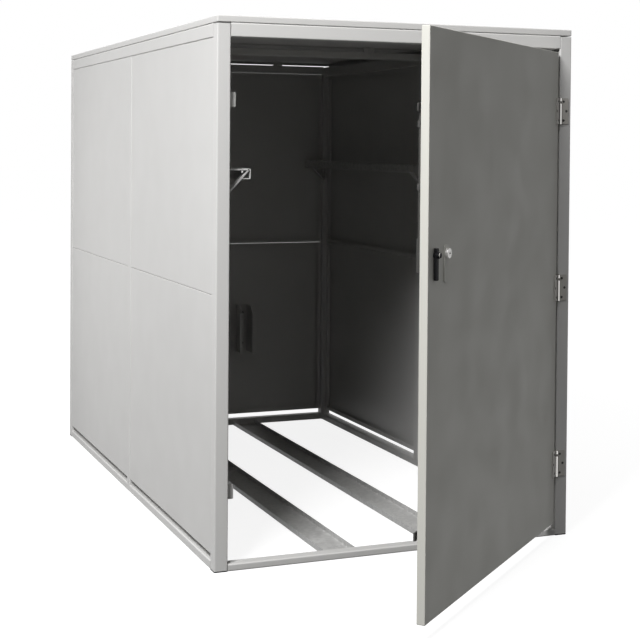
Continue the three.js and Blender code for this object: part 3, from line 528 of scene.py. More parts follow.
def close_up(shape, outward=None):
    """Merges doubles and turns the faces outwards, or the widest of them to the given way"""
    bmesh.ops.remove_doubles(shape, verts=shape.verts[:], dist=MERGED)
    bmesh.ops.recalc_face_normals(shape, faces=shape.faces[:])
    if outward is not None:
        outward = Vector(outward)
        widest = max(shape.faces, key=lambda face: abs(face.normal.dot(outward)) * face.calc_area())
        if widest.normal.dot(outward) < 0:
            bmesh.ops.reverse_faces(shape, faces=shape.faces[:])


def cuboid(low, high, radius=0.0, steps=2):
    low, high = Vector(low), Vector(high)
    shape = bmesh.new()
    place = Matrix.Translation((low + high) / 2) @ Matrix.Diagonal((*(high - low), 1))
    bmesh.ops.create_cube(shape, size=1, matrix=place)
    if radius:
        soften(shape, shape.edges[:], radius, steps)
    return shape


def square_tube(low, high, axis):
    """A hollow tube with rounded corners along one axis"""
    sizes = bpy.context.scene.locker_sheets
    low, high = Vector(low), Vector(high)
    shape = cuboid(low, high)
    ends = [face for face in shape.faces if abs(face.normal[axis]) > 0.9]
    bmesh.ops.delete(shape, geom=ends, context="FACES_ONLY")
    narrow = min((high - low)[other] for other in range(3) if other != axis)
    corner = min(sizes.tube_corner, narrow / 4)
    soften(shape, [edge for edge in shape.edges if runs_along(edge, axis)], corner, 5)
    close_up(shape)
    bmesh.ops.solidify(shape, geom=shape.faces[:], thickness=sizes.tube_wall)
    return shape


def folded_box(low, high, axis, sign, lip, radius):
    """A sheet folded to a box that is open towards one side, with a lip round its mouth"""
    shape = cuboid(low, high)
    mouth = [face for face in shape.faces if face.normal[axis] * sign > 0.9]
    bmesh.ops.inset_region(shape, faces=mouth, thickness=lip, use_even_offset=True)
    bmesh.ops.delete(shape, geom=mouth, context="FACES")
    soften(shape, folds(shape), radius, 4)
    close_up(shape)
    return shape


def thickened(shape, sheet):
    bmesh.ops.solidify(shape, geom=shape.faces[:], thickness=sheet)
    return shape


def rim(shape, centre, half_width, half_height, steps, place):
    """Edges of a round hole, or of a square one where it has four steps"""
    reach = math.sqrt(2) if steps == 4 else 1
    turn = math.pi / 4 if steps == 4 else 0
    spot = (
        place
        @ Matrix.Translation((*centre, 0))
        @ Matrix.Diagonal((half_width * reach, half_height * reach, 1, 1))
        @ Matrix.Rotation(turn, 4, "Z")
    )
    made = bmesh.ops.create_circle(shape, cap_ends=False, segments=steps, radius=1, matrix=spot)
    return list({edge for vertex in made["verts"] for edge in vertex.link_edges})


def pierce(shape, face, holes, place=Matrix.Identity(4)):
    """Fills the face again with holes in it. A hole is its centre, half width, half height and steps."""
    normal = face.normal.copy()
    edges = face.edges[:]
    bmesh.ops.delete(shape, geom=[face], context="FACES_ONLY")
    for centre, half_width, half_height, steps in holes:
        edges += rim(shape, centre, half_width, half_height, steps, place)
    bmesh.ops.triangle_fill(shape, use_beauty=True, use_dissolve=False, edges=edges, normal=normal)


def raised(shape, depth):
    """Extrudes a flat shape upwards to a solid"""
    made = bmesh.ops.extrude_face_region(shape, geom=shape.faces[:])["geom"]
    bmesh.ops.translate(shape, verts=new_corners(made), vec=(0, 0, depth))
    close_up(shape)


def ease_top(shape, depth, radius, steps):
    """Rounds the outer edge of the top, and leaves the rims of its holes sharp"""
    top = [
        edge
        for edge in shape.edges
        if edge.is_manifold
        and edge.calc_face_angle() > 1
        and all(abs(vertex.co.z - depth) < MERGED for vertex in edge.verts)
    ]
    reach = max(max(abs(v.co.x), abs(v.co.y)) for v in shape.verts)
    soften(shape, [edge for edge in top if not edge_of_hole(edge, top, reach)], radius, steps)


def edge_of_hole(edge, edges, reach):
    """Whether an edge belongs to a loop that stays inside the outer one"""
    seen, wave = {edge}, [edge]
    known = set(edges)
    while wave:
        here = wave.pop()
        for vertex in here.verts:
            for other in vertex.link_edges:
                if other in known and other not in seen:
                    seen.add(other)
                    wave.append(other)
    return max(max(abs(v.co.x), abs(v.co.y)) for e in seen for v in e.verts) < reach - 10 * MERGED


def plate(width, height, corner, depth, holes=(), edge=0.0004, steps=2):
    """A plate with rounded corners, lying on the origin with its top at depth"""
    shape = bmesh.new()
    stretch = Matrix.Diagonal((width, height, 1, 1))
    bmesh.ops.create_grid(shape, x_segments=1, y_segments=1, size=0.5, matrix=stretch)
    soften(shape, shape.verts[:], corner, 6, "VERTICES")
    if holes:
        pierce(shape, shape.faces[:][0], holes)
    raised(shape, depth)
    ease_top(shape, depth, edge, steps)
    return shape


def disc(radius, depth, holes=(), edge=0.0004, steps=2, sides=48):
    """A round plate, lying on the origin with its top at depth"""
    shape = bmesh.new()
    bmesh.ops.create_circle(shape, cap_ends=True, segments=sides, radius=radius)
    if holes:
        pierce(shape, shape.faces[:][0], holes)
    raised(shape, depth)
    if edge:
        ease_top(shape, depth, edge, steps)
    return shape


def socket_screw(radius, depth):
    """A countersunk screw with a six-sided socket, its head's top on z = 0"""
    socket = radius * 0.48
    shape = bmesh.new()
    bmesh.ops.create_circle(shape, cap_ends=True, segments=24, radius=radius)
    pierce(shape, shape.faces[:][0], [((0, 0), socket, socket, 6)])
    outer = [e for e in shape.edges if e.is_boundary and e.verts[0].co.length > radius * 0.9]
    inner = [e for e in shape.edges if e.is_boundary and e.verts[0].co.length < radius * 0.9]
    for edges, drop, narrow in ((outer, depth, 0.5), (inner, depth * 0.6, 0.9)):
        made = drawn_out(shape, edges, (0, 0, -drop))
        bmesh.ops.scale(shape, verts=new_corners(made), vec=(narrow, narrow, 1))
        bmesh.ops.contextual_create(shape, geom=[e for e in made if isinstance(e, bmesh.types.BMEdge)])
    close_up(shape)
    return shape


def hex_bolt(radius, height):
    """A bolt head on a washer, both standing on z = 0"""
    washer = disc(radius * 1.35, height * 0.25, edge=height * 0.06, sides=32)
    head = disc(radius, height * 1.2, edge=height * 0.15, sides=6)
    return joined(washer, head)


def folded_strip(points, way, radius, sheet, outward, cuts=()):
    """A flat strip through the points, drawn out along a way, folded at its lines and thickened"""
    shape = bmesh.new()
    drawn_out(shape, chain(shape, points), way)
    close_up(shape, outward)
    for spot, normal in cuts:
        parts = shape.verts[:] + shape.edges[:] + shape.faces[:]
        bmesh.ops.bisect_plane(shape, geom=parts, plane_co=spot, plane_no=normal, clear_outer=True)
    soften(shape, folds(shape), radius)
    return thickened(shape, sheet)


def weld_bead(start, end, normals, leg=0.0022):
    """A small fillet weld along a line between two faces that stand square to each other"""
    start, end = Vector(start), Vector(end)
    first, second = (Vector(normal) * leg for normal in normals)
    shape = bmesh.new()
    drawn_out(shape, chain(shape, (start, start + first, start + second), True), end - start)
    bmesh.ops.holes_fill(shape, edges=[edge for edge in shape.edges if edge.is_boundary])
    close_up(shape)
    return shape


# Frame


class LockerPiece:
    """What every operator of the locker shares"""

    bl_options = {"REGISTER", "UNDO"}


class LOCKER_OT_posts(LockerPiece, bpy.types.Operator):
    """Make the six upright square tubes"""

    bl_idname = "locker.posts"
    bl_label = "Posts"

    def execute(self, context):
        groove = context.scene.locker_sheets.post_groove
        for end in ("front", "mid", "rear"):
            for side, _ in SIDES:
                node = f"post_{end}_{side}"
                low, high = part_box(node)
                drop = 0 if end == "mid" else groove
                tube = square_tube(low, high - AXES[Z] * drop, Z)
                make_piece(f"{node}.tube", tube, "frame_paint", "frame", [node])
        return {"FINISHED"}


def roof_clip(x, front, low, high):
    """A folded clip under the roof with two hooks over the rail's front face"""
    sizes = bpy.context.scene.locker_sheets
    left, right = x - sizes.clip_width / 2, x + sizes.clip_width / 2
    back = front + sizes.clip_depth
    points = [(left, y, z) for y, z in ((back, low), (front, low), (front, high), (back, high))]
    way = (sizes.clip_width, 0, 0)
    channel = folded_strip(points, way, sizes.clip_fold, sizes.clip_sheet, (0, -1, 0))
    hooks = []
    for start in (left, right - sizes.clip_tab):
        low_corner = (start, front, low - sizes.clip_hook)
        high_corner = (start + sizes.clip_tab, front + sizes.clip_sheet, low + sizes.clip_grip)
        hooks.append(cuboid(low_corner, high_corner, radius=0.0006))
    return joined(channel, *hooks)


class LOCKER_OT_rails(LockerPiece, bpy.types.Operator):
    """Make the sill, the lintel, the base and top rails and the cross rails with their roof clips"""

    bl_idname = "locker.rails"
    bl_label = "Rails and roof clips"

    def execute(self, context):
        sizes = context.scene.locker_sheets
        plain = [("sill_front", X), ("lintel_front", X), ("base_rail_rear", X)]
        plain += [(f"{rail}_{side}", Y) for rail in ("base_rail", "top_rail") for side, _ in SIDES]
        for node, axis in plain:
            make_piece(f"{node}.tube", square_tube(*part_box(node), axis), "frame_paint", "frame", [node])
        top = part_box("post_rear_left")[1].z + sizes.rail_rise
        for node in ("top_rail_rear", "cross_rail_mid"):
            low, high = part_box(node)
            front = high.y - sizes.tube_side
            tube = square_tube((low.x, front, low.z), (high.x, high.y, top), X)
            foot = top - CLIP_BURIED
            clips = [roof_clip(sign * sizes.clip_place, low.y, foot, high.z) for _, sign in SIDES]
            make_piece(f"{node}.tube", joined(tube, *clips), "frame_paint", "frame", [node])
        return {"FINISHED"}


class LOCKER_OT_foot_caps(LockerPiece, bpy.types.Operator):
    """Make the moulded caps under the corner posts"""

    bl_idname = "locker.foot_caps"
    bl_label = "Foot caps"

    def execute(self, context):
        sizes = context.scene.locker_sheets
        for end in ("front", "rear"):
            for side, _ in SIDES:
                node = f"foot_cap_{end}_{side}"
                low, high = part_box(node)
                width = high.x - low.x
                inner = width - 2 * (sizes.tube_wall + SEAT)
                flange = plate(width, width, sizes.tube_corner, sizes.cap_flange, edge=0.0008, steps=3)
                plug = plate(inner, inner, sizes.tube_wall, high.z - low.z, edge=0.0012)
                middle = (low + high) / 2
                place = Matrix.Translation((middle.x, middle.y, low.z))
                cap = moved(joined(flange, plug), place)
                make_piece(f"{node}.moulding", cap, "foot_plastic", "frame", [node])
        return {"FINISHED"}


# Walls and roof


def wall_panel(node, axis, sign, closing, rise=0.0):
    """A wall panel's folded sheet, which reaches a little further into its wall's joint than its solid"""
    sizes = bpy.context.scene.locker_sheets
    low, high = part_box(node)
    if node.endswith("lower"):
        high.z += closing
    else:
        low.z -= closing
        high.z += rise
    tray = folded_box(low, high, axis, sign, sizes.panel_lip, sizes.fold_radius)
    make_piece(f"{node}.sheet", thickened(tray, sizes.panel_sheet), "panel_paint", "frame", [node])


class LOCKER_OT_side_panels(LockerPiece, bpy.types.Operator):
    """Make the eight folded sheets of the side walls"""

    bl_idname = "locker.side_panels"
    bl_label = "Side wall panels"

    def execute(self, context):
        closing = context.scene.locker_sheets.side_closing
        for side, sign in SIDES:
            for bay in ("front", "rear"):
                for tier in ("lower", "upper"):
                    wall_panel(f"panel_{side}_{bay}_{tier}", X, -sign, closing)
        return {"FINISHED"}


class LOCKER_OT_rear_panels(LockerPiece, bpy.types.Operator):
    """Make the two folded sheets of the rear wall"""

    bl_idname = "locker.rear_panels"
    bl_label = "Rear wall panels"

    def execute(self, context):
        closing = context.scene.locker_sheets.rear_closing
        for tier in ("lower", "upper"):
            wall_panel(f"panel_rear_{tier}", Y, -1, closing, closing / 2)
        return {"FINISHED"}


class LOCKER_OT_roof(LockerPiece, bpy.types.Operator):
    """Make the two folded roof sheets, with a short hem where they meet and at the back"""

    bl_idname = "locker.roof"
    bl_label = "Roof sheets"

    def execute(self, context):
        sizes = context.scene.locker_sheets
        hems = {
            "roof_front": [(1, sizes.roof_hem)],
            "roof_rear": [(-1, sizes.roof_hem), (1, sizes.roof_rear_hem)],
        }
        for node, short in hems.items():
            low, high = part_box(node)
            shape = cuboid(low, high)
            mouth = [face for face in shape.faces if face.normal.z < -0.9]
            bmesh.ops.inset_region(shape, faces=mouth, thickness=sizes.roof_return, use_even_offset=True)
            bmesh.ops.delete(shape, geom=mouth, context="FACES")
            for sign, hem in short:
                self.shorten_end(shape, sign, high.y if sign > 0 else low.y, high.z - hem, sizes.roof_return)
            soften(shape, folds(shape), sizes.roof_fold, 4)
            close_up(shape)
            make_piece(f"{node}.sheet", thickened(shape, sizes.panel_sheet), "panel_paint", "frame", [node])
        return {"FINISHED"}

    def shorten_end(self, shape, sign, y, height, lip):
        """Cuts the skirt and its return lip off one end, down to a short hem"""
        end = [face for face in shape.faces if face.normal.y * sign > 0.9]
        edges = [edge for face in end for edge in face.edges]
        bmesh.ops.bisect_plane(shape, geom=end + edges, plane_co=(0, 0, height), plane_no=(0, 0, 1))
        spare = []
        for face in shape.faces:
            middle = face.calc_center_median()
            under = face.normal.z < -0.9 and abs(middle.y - y) < lip
            if under or (face.normal.y * sign > 0.9 and middle.z < height):
                spare.append(face)
        bmesh.ops.delete(shape, geom=spare, context="FACES")


# Floor and fittings inside


class LOCKER_OT_wheel_channels(LockerPiece, bpy.types.Operator):
    """Make the two channels on the ground that the wheels roll in"""

    bl_idname = "locker.wheel_channels"
    bl_label = "Wheel channels"

    def execute(self, context):
        sizes = context.scene.locker_sheets
        for side, _ in SIDES:
            node = f"wheel_channel_{side}"
            low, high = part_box(node)
            line = [(low.x, high.z), (low.x, low.z), (high.x, low.z), (high.x, high.z)]
            points = [(x, low.y, z) for x, z in line]
            way = (0, high.y - low.y, 0)
            shape = folded_strip(points, way, sizes.channel_fold, sizes.channel_sheet, (0, 0, -1))
            make_piece(f"{node}.channel", shape, "galvanised", "frame", [node])
        return {"FINISHED"}


class LOCKER_OT_wheel_holders(LockerPiece, bpy.types.Operator):
    """Make the two upright holders on the rear wall that a tyre stands in"""

    bl_idname = "locker.wheel_holders"
    bl_label = "Wheel holders"

    def execute(self, context):
        sizes = context.scene.locker_sheets
        sheet = sizes.holder_sheet
        for side, _ in SIDES:
            node = f"wheel_holder_{side}"
            low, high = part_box(node)
            floor, height = high.y - sheet, high.z - low.z
            left, right = low.x + sizes.holder_lip + sheet, high.x - sizes.holder_lip - sheet
            line = [(low.x, low.y), (left, low.y), (left, floor)]
            line += [(right, floor), (right, low.y), (high.x, low.y)]
            points = [(x, y, low.z) for x, y in line]
            corner = ((0, low.y, high.z - sizes.holder_chamfer), (0, -1, 1))
            shape = folded_strip(points, (0, 0, height), sizes.holder_fold, sheet, (0, -1, 0), [corner])
            bolts = [
                faced(hex_bolt(*HOLDER_BOLT), (low.x + high.x) / 2, floor, low.z + up)
                for up in (sizes.holder_bolt, height - sizes.holder_bolt)
            ]
            make_piece(f"{node}.hat", shape, "frame_paint", "frame", [node])
            make_piece(f"{node}.bolts", joined(*bolts), "bright_steel", "frame", finish="dark_steel")
        return {"FINISHED"}


def rail_bracket(post, tip, top, bottom, near, far, sheet):
    """A triangle of flat bar: an arm under the rail, a brace and an upright on the post's foot"""
    shape = bmesh.new()
    points = [(x, near, z) for x, z in ((post, bottom), (post, top), (tip, top))]
    drawn_out(shape, chain(shape, points, True), (0, far - near, 0))
    close_up(shape, (1 if post > tip else -1, 0, 0))
    soften(shape, folds(shape), sheet * 0.9)
    return thickened(shape, sheet)


class LOCKER_OT_side_rails(LockerPiece, bpy.types.Operator):
    """Make the two rails at handlebar height with their brackets and bolts"""

    bl_idname = "locker.side_rails"
    bl_label = "Side rails and brackets"

    def execute(self, context):
        sizes = context.scene.locker_sheets
        sheet, bar = sizes.rail_sheet, sizes.bracket_sheet
        front_post, mid_post, rear_post = (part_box(f"post_{end}_left") for end in ("front", "mid", "rear"))
        places = ((front_post[1].y, 1), (mid_post[0].y, -1), (rear_post[0].y, -1))
        for side, sign in SIDES:
            node = f"side_rail_{side}"
            low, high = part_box(node)
            web = low.x if sign > 0 else high.x
            tip = web + sign * sizes.rail_flange
            bottom = high.z - sizes.rail_height
            start = front_post[1].y + sizes.rail_gap
            points = [(x, start, z) for x, z in ((tip, bottom), (web, bottom), (web, high.z), (tip, high.z))]
            rail = folded_strip(points, (0, high.y - start, 0), sizes.rail_fold, sheet, (-sign, 0, 0))
            post = sign * (abs(front_post[1].x) - SEAT)
            foot = sorted((post - sign * bar, sign * (abs(post) + sizes.bracket_foot)))
            top = high.z - sheet / 2
            shapes, bolts = [rail], []
            for y, way in places:
                near, far = y + way * SEAT, y + way * (SEAT + sizes.bracket_width)
                ends = sorted((near, near + way * bar))
                shapes += [
                    rail_bracket(post, web + sign * sheet / 2, top, low.z, *sorted((near, far)), bar),
                    cuboid((foot[0], ends[0], low.z), (foot[1], ends[1], top), radius=0.0008),
                ]
                under = Vector((tip - sign * sizes.bolt_inset, (near + far) / 2, high.z - sheet - bar))
                place = Matrix.Translation(under) @ Matrix.Rotation(math.pi, 4, "X")
                bolts.append(moved(hex_bolt(*RAIL_BOLT), place))
                for up in FOOT_BOLT_HEIGHTS:
                    spot = Matrix.Translation((post + sign * sizes.bolt_inset, near + way * bar, low.z + up))
                    turn = Matrix.Rotation(-way * math.pi / 2, 4, "X")
                    bolts.append(moved(hex_bolt(*FOOT_BOLT), spot @ turn))
            make_piece(f"{node}.channel", joined(*shapes), "galvanised", "frame", [node])
            make_piece(f"{node}.bolts", joined(*bolts), "bright_steel", "frame")
        return {"FINISHED"}


class LOCKER_OT_keepers(LockerPiece, bpy.types.Operator):
    """Make the two tabs on the post that the latch rods hook behind"""

    bl_idname = "locker.keepers"
    bl_label = "Keepers"

    def execute(self, context):
        corner = context.scene.locker_hardware.keeper_corner
        free = context.scene.locker_sheets.weld_end
        for level in ("lower", "upper"):
            node = f"keeper_{level}"
            low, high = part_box(node)
            size = high - low
            tab = plate(size.x, size.z, corner, size.y, edge=0.0006)
            tab = faced(tab, (low.x + high.x) / 2, high.y, (low.z + high.z) / 2)
            root = low.x - SEAT
            ends = (root, low.y, low.z + free), (root, low.y, high.z - free)
            bead = weld_bead(*ends, ((1, 0, 0), (0, -1, 0)))
            make_piece(f"{node}.tab", joined(tab, bead), "frame_paint", "frame", [node])
        return {"FINISHED"}


# Door


class LOCKER_OT_door_leaf(LockerPiece, bpy.types.Operator):
    """Make the door's folded sheet, with its holes for the spindle and the key cylinder"""

    bl_idname = "locker.door_leaf"
    bl_label = "Door leaf"

    def execute(self, context):
        sizes, hardware = context.scene.locker_sheets, context.scene.locker_hardware
        low, high = shut_box("door_leaf")
        shape = folded_box(low, high, Y, 1, sizes.door_lip, sizes.fold_radius)
        skin = max(shape.faces, key=lambda face: face.calc_area())
        spindle = hardware.spindle_side * math.sqrt(0.5) + hardware.spindle_room
        body = hardware.body_radius + hardware.play
        holes = [(spot, radius, radius, 32) for spot, radius in zip(lock_spots(), (spindle, body))]
        pierce(shape, skin, holes, at_front(0, low.y, 0))
        close_up(shape)
        sheet = thickened(shape, sizes.panel_sheet)
        make_piece("door_leaf.sheet", sheet, "door_paint", "door", ["door_leaf"])
        return {"FINISHED"}


def lock_spots():
    """Where the handle's spindle and the key cylinder stand with the door shut, as x and z"""
    spots = []
    for node in ("pinion", "cylinder_body"):
        low, high = shut_box(node)
        spots.append(((low.x + high.x) / 2, (low.z + high.z) / 2))
    return spots


# Hinges


def hinge_leaf(low, high, sign, knuckle):
    """A hinge leaf with three countersunk holes, the knuckle that it is rolled to, and its screws"""
    hardware = bpy.context.scene.locker_hardware
    thick, room, play = hardware.leaf_thickness, hardware.barrel_room, hardware.play
    head, stagger = hardware.screw_head, hardware.screw_stagger
    near = HINGE_AXIS.x + sign * (room + 2 * play)
    far = high.x if sign > 0 else low.x
    middle, width, height = (near + far) / 2, abs(far - near), high.z - low.z
    back = HINGE_AXIS.y + room
    centre = (low.z + high.z) / 2
    spots = [(sign * (-stagger if step else stagger), step * hardware.screw_spread) for step in (-1, 0, 1)]
    holes = [(spot, head, head, 24) for spot in spots]
    leaf = plate(width, height, hardware.leaf_corner, thick, holes, edge=0.0005)
    leaf = faced(leaf, middle, back, centre)
    bottom, top = knuckle
    bore = hardware.pin_radius + play
    ring = disc(hardware.knuckle_radius, top - bottom, [((0, 0), bore, bore, 32)], edge=0.0009, steps=4)
    ring = moved(ring, Matrix.Translation((HINGE_AXIS.x, HINGE_AXIS.y, bottom)))
    ends = sorted((HINGE_AXIS.x + sign * bore, near + sign * KNUCKLE_BURIED))
    root = cuboid((ends[0], back - thick, bottom), (ends[1], back, top))
    face = back - thick + hardware.screw_sunk
    small = head - hardware.screw_room
    screws = [faced(socket_screw(small, thick), middle + x, face, centre + z) for x, z in spots]
    return joined(leaf, root), ring, joined(*screws)


class LOCKER_OT_hinges(LockerPiece, bpy.types.Operator):
    """Make the three hinges with their pins and screws"""

    bl_idname = "locker.hinges"
    bl_label = "Hinges"

    def execute(self, context):
        hardware = context.scene.locker_hardware
        gap, head = hardware.knuckle_gap, hardware.pin_head
        parts = ("pin", "post_leaf", "door_leaf")
        for level in LEVELS:
            pin_node, post_node, door_node = (f"hinge_{part}_{level}" for part in parts)
            low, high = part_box(post_node)
            split = low.z + (high.z - low.z) * hardware.knuckle_share
            self.dress(post_node, hinge_leaf(low, high, 1, (low.z, split - gap)), "frame")
            low, high = shut_box(door_node)
            self.dress(door_node, hinge_leaf(low, high, -1, (split + gap, high.z)), "door")
            low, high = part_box(pin_node)
            height = high.z - low.z
            shank = disc(hardware.pin_radius, height - head / 2, edge=0, sides=32)
            button = disc(hardware.knuckle_radius, head, edge=0.0009, steps=4)
            pin = joined(shank, moved(button, Matrix.Translation((0, 0, height - head))))
            pin = moved(pin, Matrix.Translation((HINGE_AXIS.x, HINGE_AXIS.y, low.z)))
            make_piece(f"{pin_node}.steel", pin, "bright_steel", "frame", [pin_node], "hinge_steel")
        return {"FINISHED"}

    def dress(self, node, pieces, body):
        leaf, knuckle, screws = pieces
        make_piece(f"{node}.steel", leaf, "hinge_steel", body, [node])
        make_piece(f"{node}.knuckle", knuckle, "bright_steel", body, [node])
        make_piece(f"{node}.screws", screws, "hinge_steel", body, (), "dark_steel")


# Handle and lock


class LOCKER_OT_handle(LockerPiece, bpy.types.Operator):
    """Make the black lever with its boss, its cap and the collar under it"""

    bl_idname = "locker.handle"
    bl_label = "Handle"

    def execute(self, context):
        hardware = context.scene.locker_hardware
        low, high = shut_box("handle_lever")
        (x, z), _ = lock_spots()
        half = hardware.spindle_side / 2 + hardware.play
        radius, cap_depth, bore = hardware.boss_radius, hardware.cap_depth, hardware.collar_bore
        back, middle = high.y - hardware.lever_lift, (low.z + high.z) / 2
        front = back - hardware.lever_depth
        width = 2 * min(high.x - x, x - low.x, hardware.lever_width / 2)
        holes = [((0, z - middle), half, half, 4)]
        bar = plate(
            width, high.z - low.z, hardware.lever_corner, hardware.lever_depth, holes, edge=0.0021, steps=5
        )
        bar = faced(bar, x, back, middle)
        foot = disc(radius, hardware.lever_lift + FOOT_BURIED, [((0, 0), half, half, 4)])
        foot = faced(foot, x, high.y, z)
        neck = front - low.y - hardware.boss_drop
        boss = faced(disc(radius, neck + BOSS_BURIED, edge=0.0012, steps=4), x, front + BOSS_BURIED, z)
        socket = [((0, 0), hardware.cap_socket, hardware.cap_socket, 6)]
        cap = disc(hardware.cap_radius, cap_depth, socket, edge=0.0005, steps=3)
        floor = disc(hardware.floor_radius, hardware.floor_depth, edge=0)
        cap = faced(joined(cap, floor), x, low.y + cap_depth, z)
        lever = joined(bar, foot, boss, cap)
        make_piece("handle_lever.bar", lever, "black_plastic", "handle", ["handle_lever"])
        hole = [((0, 0), bore, bore, 32)]
        collar = disc(hardware.collar_radius, hardware.collar_depth, hole, edge=0.0002)
        collar = faced(collar, x, low.y + hardware.collar_drop, z)
        make_piece("handle_collar", collar, "bright_steel", "handle", finish="hinge_steel")
        return {"FINISHED"}


class LOCKER_OT_lock(LockerPiece, bpy.types.Operator):
    """Make the lock plate, the key cylinder and its plug with the keyway"""

    bl_idname = "locker.lock"
    bl_label = "Lock plate and key cylinder"

    def execute(self, context):
        hardware = context.scene.locker_hardware
        _, (x, z) = lock_spots()
        low, high = shut_box("lock_plate")
        size, middle = high - low, (low.z + high.z) / 2
        hole = hardware.body_radius + hardware.play
        holes = [((0, z - middle), hole, hole, 40)]
        sheet = plate(size.x, size.z, hardware.plate_corner, size.y, holes, edge=0.0006, steps=3)
        make_piece("lock_plate.sheet", faced(sheet, x, high.y, middle), "door_paint", "door", ["lock_plate"])

        low, high = shut_box("cylinder_body")
        plug_low, plug_high = shut_box("cylinder_plug")
        plug, depth = (plug_high.x - plug_low.x) / 2, hardware.head_depth
        bore = [((0, 0), plug + hardware.play, plug + hardware.play, 40)]
        head = disc((high.x - low.x) / 2, depth, bore, hardware.head_bevel, 4, 64)
        body = disc(hardware.body_radius, high.y - low.y - depth + CYLINDER_BURIED, bore)
        self.satin("cylinder_body", "door", faced(head, x, low.y + depth, z), faced(body, x, high.y, z))

        wide, tall, depth = hardware.keyway_width / 2, hardware.keyway_height / 2, hardware.keyway_depth
        front = disc(plug, depth, [((0, 0), wide, tall, 4)], edge=0.0003)
        rest = disc(plug, plug_high.y - plug_low.y - depth + PLUG_BURIED)
        front, rest = faced(front, x, plug_low.y + depth, z), faced(rest, x, plug_high.y, z)
        self.satin("cylinder_plug", "key", front, rest)
        # The wards fill the keyway in the dark tone, which paints the shade inside the keyway
        reach = Vector((wide - hardware.ward_room, 0, tall - hardware.ward_room))
        near, deep = plug_low.y + hardware.ward_drop, plug_low.y + hardware.ward_end
        face, deep = Vector((x, near, z)), Vector((x, deep, z))
        wards = cuboid(face - reach, deep + reach, radius=0.0003)
        make_piece("cylinder_plug.wards", wards, "bright_steel", "key", finish="dark_steel")
        return {"FINISHED"}

    def satin(self, node, body, *shapes):
        make_piece(f"{node}.steel", joined(*shapes), "bright_steel", body, [node], "satin_nickel")


class LOCKER_OT_latch(LockerPiece, bpy.types.Operator):
    """Give the latch and the door's inner frame, which keep their solids, a finish and eased edges; the
    latch's dark tone is painted shade
    """

    bl_idname = "locker.latch"
    bl_label = "Latch and inner door frame"

    def execute(self, context):
        for node in ("door_frame", "gear_case", "pinion", "rod_upper", "rod_lower", "rack_lower", "lock_cam"):
            solid = NODES[node]
            solid.data.materials.clear()
            # The latch's rods, racks, pinion, cam and gear case are dark as painted shade
            solid.data.materials.append(finish_for(node if node == "door_frame" else "dark_steel"))
            weld = solid.modifiers.new("Merged corners", "WELD")
            weld.merge_threshold = 10 * MERGED
            ease = solid.modifiers.new("Eased edges", "BEVEL")
            ease.width = context.scene.locker_hardware.latch_ease
            ease.segments = 2
            ease.limit_method = "ANGLE"
            ease.angle_limit = math.radians(40)
        return {"FINISHED"}


# Stage


